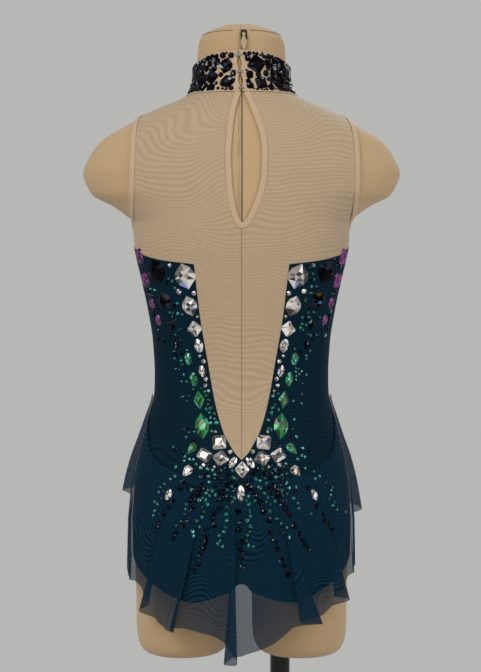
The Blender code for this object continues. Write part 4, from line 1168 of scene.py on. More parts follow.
def leg_turns():
    outer = HALF_TURN * np.arange(LEG_COLUMNS // 2 + 1) / (LEG_COLUMNS // 2)
    inner = -HALF_TURN * np.arange(1, LEG_COLUMNS // 4) / (LEG_COLUMNS // 4)
    return outer, inner


def build_form():
    """Fine cover of the dress form: torso, shoulder caps, neck and two thighs."""
    heights = samples(BODY_SECTIONS, FORM_STEP)
    rows = len(heights)
    turns = 2 * HALF_TURN * np.arange(LEG_COLUMNS) / LEG_COLUMNS
    points = [body(turns[:, None], heights[None, :]).reshape(-1, 3)]
    uvs = [paired(turns[:, None] * CHART_RADIUS, heights[None, :])]
    faces = grid_faces(LEG_COLUMNS, rows, closed=True)
    faces.append(tuple(i * rows + rows - 1 for i in range(LEG_COLUMNS)))
    total = len(points[0])
    outer, inner = leg_turns()
    loop = np.concatenate([outer, inner[::-1]])
    downs = np.linspace(0.0, 1.0, LEG_LEVELS)
    bottoms = np.array([row[0] for row in THIGH_ROUNDING])
    shares = np.array([row[1] for row in THIGH_ROUNDING])
    direction = thigh_direction(loop)
    for side in (1, -1):
        upper = leg(loop[:, None], downs[None, :])
        lower = np.stack(np.broadcast_arrays(
            THIGH_CENTRE_X + THIGH_HALF_WIDTH * shares[None, :] * np.sin(direction)[:, None],
            THIGH_CENTRE_Y - THIGH_HALF_DEPTH * shares[None, :] * np.cos(direction)[:, None],
            THIGH_BOTTOM + bottoms[None, :],
        ), -1)
        whole = np.concatenate([upper, lower], 1) * np.array([side, 1.0, 1.0])
        rows = whole.shape[1]
        points.append(whole.reshape(-1, 3))
        uvs.append(paired(side * loop[:, None] * CHART_RADIUS, whole[..., 2]))
        made = grid_faces(len(loop), rows, closed=True, start=total)
        made.append(tuple(total + i * rows + rows - 1 for i in range(len(loop))))
        faces += made if side < 0 else [face[::-1] for face in made]
        total += len(loop) * rows
    tidy_mesh(add_mesh(
        "form_cover", np.concatenate(points), faces, "cover",
        ("dress_form",), np.concatenate(uvs),
    ))


def tidy_mesh(piece):
    """Join points that meet and turn every face outward."""
    work = bmesh.new()
    work.from_mesh(piece.data)
    bmesh.ops.remove_doubles(work, verts=work.verts, dist=JOIN_DISTANCE)
    bmesh.ops.recalc_face_normals(work, faces=work.faces)
    work.to_mesh(piece.data)
    work.free()


def leg_columns_of(front):
    outer, inner = leg_turns()
    inner = inner[::-1]
    near = 1e-6
    if front:
        return np.concatenate([outer[outer > QUARTER - near], inner[inner < near - QUARTER]])
    return np.concatenate([inner[inner > -QUARTER - near], outer[outer < QUARTER + near]])


CLOTH_LIFT = 1.4
LEG_ROWS = 26
TEAL_STEP = 4.0
WELD_DISTANCE = 0.02


def brief_wall(front, side):
    """The brief below the hips on one leg: outer and inner points, and faces."""
    turns = leg_columns_of(front)
    shares = leg_line_share(turns)
    downs = shares[:, None] * np.linspace(0.0, 1.0, LEG_ROWS)[None, :]
    spread = np.broadcast_to(turns[:, None], downs.shape)
    point, normal = leg_frame(spread, downs)
    at_hip = turns >= 0
    body_p, body_n, _, _ = frame_of(body, turns, np.full(len(turns), HIP_LEVEL))
    walls = []
    for lift in (CLOTH_LIFT + size_of("cloth"), CLOTH_LIFT):
        wall = point + normal * lift
        wall[at_hip, 0] = (body_p + body_n * lift)[at_hip]
        wall[~at_hip, 0, 0] = 0.0
        walls.append((wall * np.array([side, 1.0, 1.0])).reshape(-1, 3))
    uv = paired(spread * CHART_RADIUS * side, point[..., 2])
    faces = grid_faces(len(turns), LEG_ROWS)
    if side > 0:
        faces = [face[::-1] for face in faces]
    return walls[0], walls[1], faces, uv


def build_teal(name, node, outline, front):
    outer, inner, faces, uv = torso_panel([outline], CLOTH_LIFT, size_of("cloth"), TEAL_STEP)
    for side in (1, -1):
        more = brief_wall(front, side)
        start = len(outer)
        outer = np.concatenate([outer, more[0]])
        inner = np.concatenate([inner, more[1]])
        uv = np.concatenate([uv, more[3]])
        faces = faces + [tuple(start + i for i in face) for face in more[2]]
    outer, inner, faces, uv = weld(outer, inner, faces, uv)
    piece = add_cloth(name, node, "teal", (outer, inner, faces), uv)
    tidy_mesh(piece)
    return piece


def weld(outer, inner, faces, uv):
    """Join the sheet's points that lie on each other."""
    keys = np.round(outer / WELD_DISTANCE).astype(int)
    _, first, back = np.unique(keys, axis=0, return_index=True, return_inverse=True)
    back = back.ravel()
    joined = []
    for face in faces:
        corners = []
        for i in face:
            k = int(back[i])
            if k not in corners:
                corners.append(k)
        if len(corners) > 2:
            joined.append(tuple(corners))
    return outer[first], inner[first], joined, uv[first]


def hip_edge(first, last):
    count = round((last - first) / (2 * HALF_TURN / LEG_COLUMNS))
    turns = first + (last - first) * np.arange(count + 1) / count
    return paired(turns * CHART_RADIUS, HIP_LEVEL)


def build_teal_cloth():
    right = teal_back_edge()
    back = np.concatenate([hip_edge(-QUARTER, QUARTER), right, mirrored(right)[1:]])
    piece = build_teal("back_cloth", "back_body", back, False)
    front = np.concatenate([hip_edge(QUARTER, 3 * QUARTER), bust_line()[::-1]])
    piece = build_teal("front_cloth", "front_body", front, True)


NET_LIFT = 1.5
NET_STEP = 4.5
SHOULDER_TOP_Z = 858.0
NECK_FROM = 10.0
NECK_TO = 50.0
BACK_NECK_POINTS = 14
FRONT_NECK_POINTS = 61


def build_net_piece(name, node, outline):
    outer, inner, faces, uv = torso_panel([outline], NET_LIFT, size_of("net"), NET_STEP)
    piece = add_cloth(name, node, "net", (outer, inner, faces), uv)
    tidy_mesh(piece)


def back_net_outline(armhole_rows, lean):
    """Outline of a half of the back's net, as the right half."""
    keyhole = edge_curve(KEYHOLE_BINDING_EDGE, lean)
    keyhole[0, 0] = 0.0
    xs = np.linspace(NECK_FROM, NECK_TO, BACK_NECK_POINTS)
    neck = paired(turn_at(xs, NECKLINE_Z) * CHART_RADIUS, NECKLINE_Z)
    shoulder = paired(QUARTER * CHART_RADIUS, [NECKLINE_Z, SHOULDER_TOP_Z])
    seam = np.array([[0.0, V_TIP_Z]])
    armhole = armhole_curve(armhole_rows)[::-1]
    return np.concatenate([seam, keyhole, neck, shoulder, armhole, teal_back_edge()[:-1]])


def build_nets():
    right = back_net_outline(RIGHT_ARMHOLE_BINDING_EDGE, 1.0)
    left = back_net_outline(ARMHOLE_BINDING_EDGE, -1.0)
    build_net_piece("back_net_right", "back_mesh_right", right)
    build_net_piece("back_net_left", "back_mesh_left", mirrored(left))
    turns = np.linspace(QUARTER, 3 * QUARTER, FRONT_NECK_POINTS)
    neck = paired(turns * CHART_RADIUS, NECKLINE_Z)
    bust = bust_line()
    shoulder = [[QUARTER * CHART_RADIUS, SHOULDER_TOP_Z]]
    sides = []
    for rows in (RIGHT_ARMHOLE_BINDING_EDGE, ARMHOLE_BINDING_EDGE):
        sides.append(np.concatenate([bust[:1], over_to_front(armhole_curve(rows)), shoulder]))
    loop = np.concatenate([sides[0], neck, to_other_side(sides[1]), bust[-2:0:-1]])
    build_net_piece("front_net", "front_mesh", loop)


def band(points, normals, profile, closed=False):
    """Strip along a line: profile gives distance to the side and height."""
    count = len(points)
    if closed:
        tangents = unit(np.roll(points, -1, 0) - np.roll(points, 1, 0))
    else:
        tangents = unit(np.gradient(points, axis=0))
    sides = unit(np.cross(normals, tangents))
    profile = np.asarray(profile, float)
    rings = (
        points[:, None, :]
        + sides[:, None, :] * profile[None, :, 0, None]
        + normals[:, None, :] * profile[None, :, 1, None]
    )
    rows = len(profile)
    faces = []
    for a in range(count if closed else count - 1):
        b = (a + 1) % count
        for row in range(rows):
            k = (row + 1) % rows
            faces.append((a * rows + row, b * rows + row, b * rows + k, a * rows + k))
    if not closed:
        faces.append(tuple(range(rows)))
        faces.append(tuple((count - 1) * rows + row for row in range(rows - 1, -1, -1)))
    uv = paired(profile[None, :, 0], length_along(points)[:, None])
    return rings.reshape(-1, 3), faces, uv


def add_strip(name, key, line, profile, replaced=(), closed=False):
    """A strip of elastic or thread; line is its points and their normals."""
    rings, faces, uv = band(*line, profile, closed)
    piece = add_mesh(name, rings, faces, key, replaced, uv)
    tidy_mesh(piece)
    return piece


STRIP_SECTION = [
    # share of half the width, share of the height from the middle line, extra height
    (-1.0, 0.0, 0.0),
    (-0.86, 0.65, 0.0),
    (-0.6, 1.0, 0.0),
    (0.0, 1.0, 0.12),
    (0.6, 1.0, 0.0),
    (0.86, 0.65, 0.0),
    (1.0, 0.0, 0.0),
    (0.8, -1.0, 0.0),
    (-0.8, -1.0, 0.0),
]


def strip_profile(width, low, high):
    """Rounded cross section of an elastic or thread, from one side to the other."""
    half = width / 2
    middle = (low + high) / 2
    rise = (high - low) / 2
    return [(half * side, middle + rise * up + extra) for side, up, extra in STRIP_SECTION]


def chart_line(curve, step):
    """Points and normals of the body along a line of the chart."""
    curve = np.asarray(curve, float)
    real = body(curve[:, 0] / CHART_RADIUS, curve[:, 1])
    length = length_along(real)
    places = np.linspace(0.0, length[-1], max(2, round(length[-1] / step)))
    turn = np.interp(places, length, curve[:, 0]) / CHART_RADIUS
    height = np.interp(places, length, curve[:, 1])
    point, normal, _, _ = frame_of(body, turn, height)
    return point, normal


KEYHOLE_STRIP = {"width": 6.8, "low": 1.2, "high": 3.0}
ARMHOLE_STRIP = {"width": 6.4, "low": 1.6, "high": 3.2}
KEYHOLE_STEP = 2.0
KEYHOLE_POINTS = 70
ARMHOLE_POINTS = 60


def middle_line(first, second, count):
    """Line halfway between two edges of the chart, by share of their length."""
    lines = []
    for curve in (first, second):
        curve = np.asarray(curve, float)
        length = length_along(curve)
        places = np.linspace(0.0, length[-1], count)
        lines.append(np.stack([np.interp(places, length, curve[:, k]) for k in (0, 1)], -1))
    return (lines[0] + lines[1]) / 2


def build_keyhole_elastic():
    halves = []
    for side in (1, -1):
        outer = edge_curve(KEYHOLE_BINDING_EDGE, side)
        inner = edge_curve(KEYHOLE_EDGE, side)
        halves.append(middle_line(outer, inner, KEYHOLE_POINTS))
        halves[-1][0, 0] = 0.0
    line = np.concatenate([mirrored(halves[1])[:-1], halves[0]])
    piece = add_strip(
        "keyhole_elastic", "elastic", chart_line(line, KEYHOLE_STEP),
        strip_profile(**KEYHOLE_STRIP), ("keyhole_binding",),
    )


def build_armhole_elastic(word, outer_rows, inner_rows, side):
    back = middle_line(armhole_curve(outer_rows), armhole_curve(inner_rows), ARMHOLE_POINTS)
    loop = np.concatenate([back, over_to_front(back)[-2:0:-1]]) * np.array([side, 1.0])
    line = frame_of(body, loop[:, 0] / CHART_RADIUS, loop[:, 1])[:2]
    piece = add_strip(
        "armhole_elastic_" + word, "elastic", line,
        strip_profile(**ARMHOLE_STRIP), ("armhole_binding_" + word,), closed=True,
    )


def build_bindings():
    build_keyhole_elastic()
    build_armhole_elastic("right", RIGHT_ARMHOLE_BINDING_EDGE, RIGHT_ARMHOLE_EDGE, 1)
    build_armhole_elastic("left", ARMHOLE_BINDING_EDGE, ARMHOLE_EDGE, -1)


COLLAR_COLUMNS = 120
COLLAR_STEP = 3.0
COLLAR_EDGE_POINTS = 25


def collar_top(turn):
    return COLLAR_TOP_SIDE + COLLAR_TOP_RISE * np.sign(np.cos(turn)) * np.cos(turn) ** 2


def collar_opening(height):
    levels = [level for name, level in CLOSURE_LEVELS]
    swell = np.sin(HALF_TURN * (height - levels[0]) / (levels[1] - levels[0])) ** 2
    swell = np.where((height < levels[0]) | (height > levels[-1]), 0.0, swell)
    return COLLAR_OPENING + COLLAR_BULGE * swell


def slit_lean(height):
    """Sideways shift of the collar's opening, which leans toward -X at its top."""
    return -SLIT_LEAN * (height - COLLAR_BOTTOM) / (collar_top(0.0) - COLLAR_BOTTOM)


def collar_edge(side):
    """Chart points of the collar's edge at the slit, from its bottom to its top."""
    heights = np.linspace(COLLAR_BOTTOM, collar_top(0.0), COLLAR_EDGE_POINTS)
    turns = turn_at(side * collar_opening(heights) + slit_lean(heights), heights)
    if side < 0:
        turns = turns % (2 * HALF_TURN)
    return np.stack([turns * CHART_RADIUS, heights], -1)


def build_collar():
    near = collar_edge(1)
    turns = 2 * HALF_TURN * np.arange(2, COLLAR_COLUMNS - 1) / COLLAR_COLUMNS
    bottom = paired(turns * CHART_RADIUS, COLLAR_BOTTOM)
    top = np.stack([turns * CHART_RADIUS, collar_top(turns)], -1)[::-1]
    loop = np.concatenate([near[:1], bottom, collar_edge(-1), top, near[:0:-1]])
    outer, inner, faces, uv = torso_panel([loop], CLOTH_LIFT, size_of("collar"), COLLAR_STEP)
    piece = add_cloth("collar_band", "collar", "elastic", (outer, inner, faces), uv)
    tidy_mesh(piece)


ZIP_BOTTOM = 716.0
ZIP_TOP = 926.0
ZIP_X = 0.6
ZIP_WIDTH = 1.4
NECK_SEAM_LEVEL = 940.0
NECK_SEAM_GAP = 0.16
SEAM_COLUMNS = 90
NECK_SEAM_COLUMNS = 120
# Heights of the seams' threads over the form: under side and upper side
CENTRE_SEAM = (NET_LIFT + 0.3, NET_LIFT + 0.3 + 0.45)
ZIP_LINE = (-0.2, 0.3)
NECK_SEAM = (-0.2, 0.25)
CENTRE_SEAM_FROM = V_TIP_Z + 3.0
CENTRE_SEAM_TO = KEYHOLE_BINDING_EDGE[0][0] - 1.0


def build_seams():
    """Centre seam of the net, the line of the form's zip and the seam of its neck."""
    fine = size_of("seam")
    heights = np.linspace(CENTRE_SEAM_FROM, CENTRE_SEAM_TO, SEAM_COLUMNS)
    line = frame_of(body, 0.0 * heights, heights)[:2]
    add_strip("net_centre_seam", "thread", line, strip_profile(fine, *CENTRE_SEAM))
    heights = np.linspace(ZIP_BOTTOM, ZIP_TOP, SEAM_COLUMNS)
    line = frame_of(body, turn_at(ZIP_X, heights), heights)[:2]
    add_strip("form_zip_line", "zip", line, strip_profile(ZIP_WIDTH, *ZIP_LINE))
    turns = np.linspace(NECK_SEAM_GAP, 2 * HALF_TURN - NECK_SEAM_GAP, NECK_SEAM_COLUMNS)
    line = frame_of(body, turns, np.full(NECK_SEAM_COLUMNS, NECK_SEAM_LEVEL))[:2]
    add_strip("form_neck_seam", "zip", line, strip_profile(fine, *NECK_SEAM))


CUTS = {
    # cut: outline in shares of half the width and half the length
    "square": [
        (0.66, 0.86), (0.86, 0.66), (0.86, -0.66), (0.66, -0.86),
        (-0.66, -0.86), (-0.86, -0.66), (-0.86, 0.66), (-0.66, 0.86),
    ],
    "kite": [
        (0.12, 0.97), (0.97, 0.12), (0.97, -0.12), (0.12, -0.97),
        (-0.12, -0.97), (-0.97, -0.12), (-0.97, 0.12), (-0.12, 0.97),
    ],
    "cosmic": [
        (0.1, 1.0), (0.93, 0.36), (1.0, -0.08), (0.72, -0.55),
        (-0.1, -1.0), (-0.93, -0.36), (-1.0, 0.08), (-0.72, 0.55),
    ],
    "pear": [
        (0.12, 1.0), (0.62, 0.3), (0.92, -0.3), (0.55, -0.9),
        (-0.55, -0.9), (-0.92, -0.3), (-0.62, 0.3), (-0.12, 1.0),
    ],
}


# How far the corners of an oval stone are pushed out or in
CUSHION_POWER = 0.7
NAVETTE_POWER = 0.3


def stone_outline(cut, width, length, mirror=1):
    """Outline of a stone round its middle, by its cut."""
    half = np.array([width / 2, length / 2])
    if cut in CUTS:
        outline = np.array(CUTS[cut]) * half
        return outline if mirror > 0 else outline[::-1] * np.array([-1.0, 1.0])
    count = 12 if cut in ("cushion", "navette") else 8
    angle = 2 * HALF_TURN * (np.arange(count) + 0.5) / count
    x = np.sin(angle)
    y = np.cos(angle)
    if cut == "cushion":
        x = np.sign(x) * np.abs(x) ** CUSHION_POWER
        y = np.sign(y) * np.abs(y) ** CUSHION_POWER
    if cut == "navette":
        x = x * np.abs(x) ** NAVETTE_POWER
    return np.stack([x, y], -1) * half


# Painted reflections and glints: each facet's colour is scaled by one of these values, in place of the
# light and shade its facets would mirror
FACET_REFLECTIONS = {
    # colour: shares and colour factors of its facets, painted reflections from dark to bright and a few
    # painted glints
    "clear": [
        (0.21, (0.05, 0.05, 0.055)), (0.15, (0.22, 0.20, 0.19)), (0.20, (0.58, 0.53, 0.50)),
        (0.25, (1.0, 0.97, 0.94)), (0.175, (1.45, 1.45, 1.48)), (0.015, (0.35, 0.5, 1.2)),
    ],
    "black": [
        (0.54, (0.3, 0.3, 0.4)), (0.28, (1.6, 1.6, 1.8)), (0.13, (10.0, 11.0, 10.0)),
        (0.035, (150.0, 150.0, 95.0)), (0.01, (20.0, 80.0, 110.0)), (0.005, (70.0, 30.0, 5.0)),
    ],
    "green": [
        (0.32, (0.10, 0.12, 0.12)), (0.27, (0.45, 0.45, 0.45)), (0.21, (1.0, 1.0, 1.0)),
        (0.13, (3.0, 1.5, 5.0)), (0.07, (16.0, 2.3, 9.0)),
    ],
    "magenta": [
        (0.34, (0.12, 0.1, 0.12)), (0.44, (0.9, 0.9, 0.9)), (0.22, (1.4, 2.4, 1.4)),
    ],
    "sea": [
        (0.40, (0.10, 0.14, 0.15)), (0.32, (0.5, 0.55, 0.5)), (0.19, (1.2, 1.35, 1.2)),
        (0.09, (30.0, 3.6, 3.9)),
    ],
}


STONE_LEVELS = {
    # colour: darkest and brightest stone
    "clear": (0.8, 1.1),
    "black": (0.7, 1.3),
    "green": (0.7, 1.2),
    "magenta": (0.6, 1.2),
    "sea": (0.25, 1.9),
}
GIRDLE_SHARE = 0.99
GIRDLE_RISE = 0.22
TABLE_SHARE = 0.5
TABLE_SHIFT = 0.12
POINT_RISE = 1.04


class StoneHeap:
    """Many stones of one colour, joined into one mesh."""

    def __init__(self, colour, seed):
        self.colour = colour
        self.points = []
        self.faces = []
        self.reflection_tints = []
        self.random = np.random.default_rng(seed)
        shares = np.array([share for share, reflection_tint in FACET_REFLECTIONS[colour]])
        self.steps = np.cumsum(shares / shares.sum())
        self.levels = STONE_LEVELS[colour]
        self.level = 1.0
        self.reflection_tones = [reflection_tint for share, reflection_tint in FACET_REFLECTIONS[colour]]

    def reflection_tint(self):
        """A facet's painted reflection, a little varied."""
        pick = int(np.searchsorted(self.steps, self.random.random()))
        reflection_tint = self.reflection_tones[min(pick, len(self.reflection_tones) - 1)]
        vary = self.level * (0.85 + 0.3 * self.random.random())
        return tuple(part * vary for part in reflection_tint)

    def add(self, place, outline, rise, sink):
        """place is point, normal, across and along; the outline is flat."""
        point, normal, across, along = place
        self.level = self.random.uniform(*self.levels)
        count = len(outline)
        half_step = (outline + np.roll(outline, -1, 0)) / 2
        off = self.random.uniform(-TABLE_SHIFT, TABLE_SHIFT, 2) * np.abs(outline).max(0)
        rings = [
            (outline, -sink),
            (outline * GIRDLE_SHARE, rise * GIRDLE_RISE),
            (half_step * TABLE_SHARE + off, rise),
        ]
        start = len(self.points)
        for ring, height in rings:
            for x, y in ring:
                self.points.append(point + across * x + along * y + normal * height)
        self.points.append(point + across * off[0] + along * off[1] + normal * rise * POINT_RISE)
        girdle = start + count
        top = girdle + count
        middle = top + count
        for i in range(count):
            k = (i + 1) % count
            self.facet((start + i, start + k, girdle + k, girdle + i))
            self.facet((girdle + i, girdle + k, top + i))
            self.facet((girdle + k, top + k, top + i))
        for i in range(0, count, 2):
            self.facet((top + i, top + (i + 1) % count, top + (i + 2) % count, middle))
        self.facet(tuple(start + i for i in reversed(range(count))))

    def facet(self, corners):
        self.faces.append(corners)
        self.reflection_tints.append(self.reflection_tint())

    def build(self, name):
        key = self.colour
        piece = add_mesh(name, np.array(self.points), self.faces, key, smooth=False)
        # Painted reflection of each facet, which the material multiplies into its colour
        layer = piece.data.attributes.new("facet", "FLOAT_COLOR", "FACE")
        reflection_tints = np.ones((len(self.reflection_tints), 4))
        reflection_tints[:, :3] = self.reflection_tints
        layer.data.foreach_set("color", reflection_tints.ravel())


CIRCLE_SHARE = 0.47
SHORT_REACH = 0.5


class StoneMap:
    """Circles of a flat map that stones already cover."""

    def __init__(self):
        self.circles = np.zeros((0, 3))

    def free(self, x, y, radius):
        gap = np.hypot(self.circles[:, 0] - x, self.circles[:, 1] - y)
        return bool(np.all(gap >= self.circles[:, 2] + radius))

    def take(self, x, y, width, length, tilt=0.0):
        """Cover a long stone with a row of circles along its length."""
        radius = CIRCLE_SHARE * min(width, length)
        reach = max(width, length) / 2 - radius
        angle = math.radians(tilt + (90.0 if width > length else 0.0))
        for share in (0.0,) if reach < SHORT_REACH else (-1.0, 0.0, 1.0):
            row = [x + math.sin(angle) * reach * share, y + math.cos(angle) * reach * share, radius]
            self.circles = np.vstack([self.circles, row])


def turned_frame(place, tilt):
    """The same place with its across and along turned, tilt in degrees clockwise."""
    point, normal, across, along = place
    angle = math.radians(tilt)
    new_across = across * math.cos(angle) - along * math.sin(angle)
    new_along = along * math.cos(angle) + across * math.sin(angle)
    return point, normal, new_across, new_along


def place_at_turn(turn, height, tilt, lift):
    point, normal, across, _ = frame_of(body, np.float64(turn), np.float64(height))
    along = np.cross(normal, across)
    return turned_frame((point + normal * lift, normal, across, along), tilt)


VIEW_FROM = -0.4
STONE_LIFT = 0.2
STONE_FOLLOW = 0.45
BEAD_LIFT = 0.8
BEAD_FOLLOW = 0.8


class BackView:
    """Finds the outermost dark cloth of the back by looking straight at it from behind."""

    def __init__(self):
        depsgraph = bpy.context.evaluated_depsgraph_get()
        self.trees = []
        for name in ("back_cloth", "skirt_back_sheer"):
            self.trees.append(BVHTree.FromObject(bpy.data.objects[name], depsgraph))

    def place(self, x, height, tilt, lift, follow, facing=0.0):
        """Frame on the cloth, or None beside it.

        follow is the share that the cloth itself, with its folds, has in the
        normal, and facing turns the normal toward -Y.
        """
        start = Vector((x * MM, VIEW_FROM, height * MM))
        hits = [tree.ray_cast(start, Vector((0.0, 1.0, 0.0))) for tree in self.trees]
        hits = [hit for hit in hits if hit[0] is not None]
        if not hits:
            return None
        nearest = min(hits, key=lambda hit: hit[3])
        point = np.array(nearest[0]) / MM
        level = np.float64(max(height, HIP_LEVEL))
        smooth = frame_of(body, turn_at(x, level), level)[1]
        cloth = np.array(nearest[1])
        if cloth[1] > 0.0:
            cloth = -cloth
        normal = unit(follow * cloth + (1.0 - follow) * smooth + facing * np.array([0.0, -1.0, 0.0]))
        across = unit(np.cross(np.array([0.0, 0.0, 1.0]), -normal))
        along = np.cross(normal, across)
        return turned_frame((point + normal * lift, normal, across, along), tilt)


# Stones at the sides lean back toward the view
SIDE_FACING = {"magenta": 0.8, "black": 0.35}
LARGE_SEED = 11
LARGE_RISE = 0.18
LARGE_SINK = 1.3


def large_stone_rows():
    """Every large stone: place, size, tilt, cut, colour and side."""
    rows = []
    for x, height, width, length, tilt, cut, colour in LARGE_STONES:
        for side in (1, -1):
            rows.append((x * side, height, width, length, tilt * side, cut, colour, side))
    for x, height, width, length, tilt, cut, colour in CENTRE_STONES:
        rows.append((x, height, width, length, tilt, cut, colour, 1))
    return rows


def build_large_stones():
    view = BackView()
    heaps = {}
    for i, colour in enumerate(("clear", "black", "green", "magenta")):
        heaps[colour] = StoneHeap(colour, LARGE_SEED + i)
    for x, height, width, length, tilt, cut, colour, side in large_stone_rows():
        place = view.place(x, height, tilt, STONE_LIFT, STONE_FOLLOW, SIDE_FACING.get(colour, 0.0))
        if place is None:
            raise RuntimeError("No cloth lies under the large stone at %.1f, %.1f mm" % (x, height))
        outline = stone_outline(cut, width, length, side)
        heaps[colour].add(place, outline, LARGE_RISE * min(width, length), LARGE_SINK)
    for colour, heap in heaps.items():
        heap.build(colour + "_crystals")


COLLAR_STONES = [
    # from_centre, height, width, length, tilt, cut
    (15.6, 901.5, 19.5, 19.5, 33.0, "square"),
    (20.5, 880.5, 14.5, 15.5, -12.0, "square"),
    (34.5, 893.0, 13.5, 19.0, 14.0, "cushion"),
    (-16.0, 900.0, 15.0, 18.5, 10.0, "cosmic"),
    (-14.5, 882.0, 18.5, 15.0, -22.0, "cosmic"),
    (-31.0, 888.0, 16.0, 16.0, 38.0, "square"),
    (-32.0, 875.5, 12.0, 9.5, 0.0, "square"),
    (31.0, 876.0, 10.0, 10.0, 10.0, "kite"),
    (-10.8, 911.0, 6.5, 6.5, 0.0, "cushion"),
    (-8.6, 891.0, 6.0, 8.0, 0.0, "cushion"),
    (-25.5, 905.0, 8.5, 8.5, 0.0, "cushion"),
    (6.4, 908.0, 6.5, 7.5, 0.0, "cushion"),
    (8.5, 889.5, 8.0, 9.0, 0.0, "cushion"),
    (9.0, 877.0, 8.0, 8.0, 0.0, "cushion"),
    (27.0, 904.5, 8.0, 8.0, 0.0, "cushion"),
]
COLLAR_ROUND = [
    # turn, height share, width, length, tilt, cut
    (0.99, 0.64, 11.0, 23.0, 10.0, "square"),
    (0.95, 0.17, 11.0, 10.0, 0.0, "square"),
    (1.22, 0.66, 9.0, 22.0, -6.0, "cushion"),
    (1.25, 0.20, 13.0, 12.0, 20.0, "kite"),
    (1.48, 0.58, 11.0, 20.0, 12.0, "square"),
    (1.55, 0.14, 11.0, 8.0, 0.0, "square"),
    (1.78, 0.56, 15.0, 17.0, 25.0, "square"),
    (1.88, 0.17, 12.0, 10.0, -8.0, "cushion"),
    (2.12, 0.62, 13.0, 18.0, -12.0, "cosmic"),
    (2.20, 0.20, 13.0, 12.0, 10.0, "square"),
    (2.48, 0.56, 15.0, 18.0, 14.0, "cushion"),
    (2.55, 0.14, 11.0, 8.0, 0.0, "square"),
    (2.90, 0.60, 17.0, 17.0, 35.0, "square"),
    (2.86, 0.18, 12.0, 10.0, 0.0, "cosmic"),
]
BEAD_SIZES = (7.6, 6.8, 6.0, 5.2, 4.4, 3.6, 2.8)
BEAD_TRIES = 2600
BEAD_PRESS = 0.26
COLLAR_RADIUS = 53.0
COLLAR_BARE = 3.4
COLLAR_LIFT = 3.0
COLLAR_SEED = 23
COLLAR_SINK = 0.8
COLLAR_RISE = 2.6
COLLAR_ROUND_RISE = 2.4
COLLAR_BEAD_RISE = 0.36


def build_collar_stones():
    """Black stones of many sizes, the beads fitted into what the large ones leave."""
    heap = StoneHeap("black", COLLAR_SEED)
    taken = StoneMap()
    whole = 2 * HALF_TURN

    def put(turn, height, width, length, tilt, cut, rise, mirror=1):
        taken.take(turn * COLLAR_RADIUS, height, width, length, tilt)
        place = place_at_turn(turn, height, tilt, COLLAR_LIFT)
        heap.add(place, stone_outline(cut, width, length, mirror), rise, COLLAR_SINK)

    for x, height, width, length, tilt, cut in COLLAR_STONES:
        turn = float(turn_at(x, height)) % whole
        put(turn, height, width, length, tilt, cut, COLLAR_RISE)
    for turn, share, width, length, tilt, cut in COLLAR_ROUND:
        for side in (1, -1):
            here = (turn * side) % whole
            height = COLLAR_BOTTOM + share * (float(collar_top(here)) - COLLAR_BOTTOM)
            put(here, height, width, length, tilt * side, cut, COLLAR_ROUND_RISE, side)
    for size in BEAD_SIZES:
        for turn, share in heap.random.uniform(0.0, 1.0, (BEAD_TRIES, 2)) * (whole, 1.0):
            low = COLLAR_BOTTOM + 0.2 + size / 2
            high = float(collar_top(turn)) - 0.3 - size / 2
            height = low + share * (high - low)
            gap = abs(float(round_the_back(turn)) * COLLAR_RADIUS - float(slit_lean(height)))
            clear = gap > COLLAR_BARE + size / 2
            if clear and taken.free(turn * COLLAR_RADIUS, height, BEAD_PRESS * size):
                put(turn, height, size, size, 0.0, "round", COLLAR_BEAD_RISE * size)
    heap.build("collar_stones")


NET_MARGIN = 2.6
SMALL_SEED = 31
SPREAD_SEED = 5
BEAD_RISE = 0.34
BEAD_SINK = BEAD_LIFT + 0.3
RAY_DRIFT = 0.8
RAY_TAPER = 0.2
RAY_SIZES = (0.88, 1.08)
RAY_GAPS = (0.75, 1.25)


def build_small_stones():
    """Round stones: between the large ones, on the rays, and loosely round them."""
    view = BackView()
    heaps = {}
    for i, colour in enumerate(("black", "sea", "clear")):
        heaps[colour] = StoneHeap(colour, SMALL_SEED + i)
    taken = StoneMap()
    for x, height, width, length, tilt, cut, colour, side in large_stone_rows():
        taken.take(x, height, width, length, tilt)

    def put(colour, x, height, size):
        over_net = height > V_TIP_Z and abs(x) < v_edge(height) + NET_MARGIN
        place = view.place(x, height, 0.0, BEAD_LIFT, BEAD_FOLLOW)
        if over_net or place is None or not taken.free(x, height, 0.5 * size):
            return
        taken.take(x, height, size, size)
        heaps[colour].add(place, stone_outline("round", size, size), BEAD_RISE * size, BEAD_SINK)

    for x, height, size in ROUND_STONES:
        for side in (1, -1):
            put("clear", x * side, height, size)
    random = np.random.default_rng(SPREAD_SEED)
    lay_rays(put, random)
    scatter(put, random)
    for colour, name in (("black", "black"), ("sea", "sea_green"), ("clear", "clear")):
        heaps[colour].build(name + "_rhinestones")


def lay_rays(put, random):
    """Rows of stones that fan out over the skirt and grow smaller outward."""
    for first_x, first_height, last_x, last_height, colour, size, spacing, aside in RAYS:
        length = math.hypot(last_x - first_x, last_height - first_height)
        share = 0.0
        while share < 1.0:
            x = first_x + (last_x - first_x) * share + random.normal(0.0, aside)
            height = first_height + (last_height - first_height) * share
            height = height + random.normal(0.0, RAY_DRIFT)
            put(colour, x, height, size * (1.0 - RAY_TAPER * share) * random.uniform(*RAY_SIZES))
            share += spacing * random.uniform(*RAY_GAPS) / length


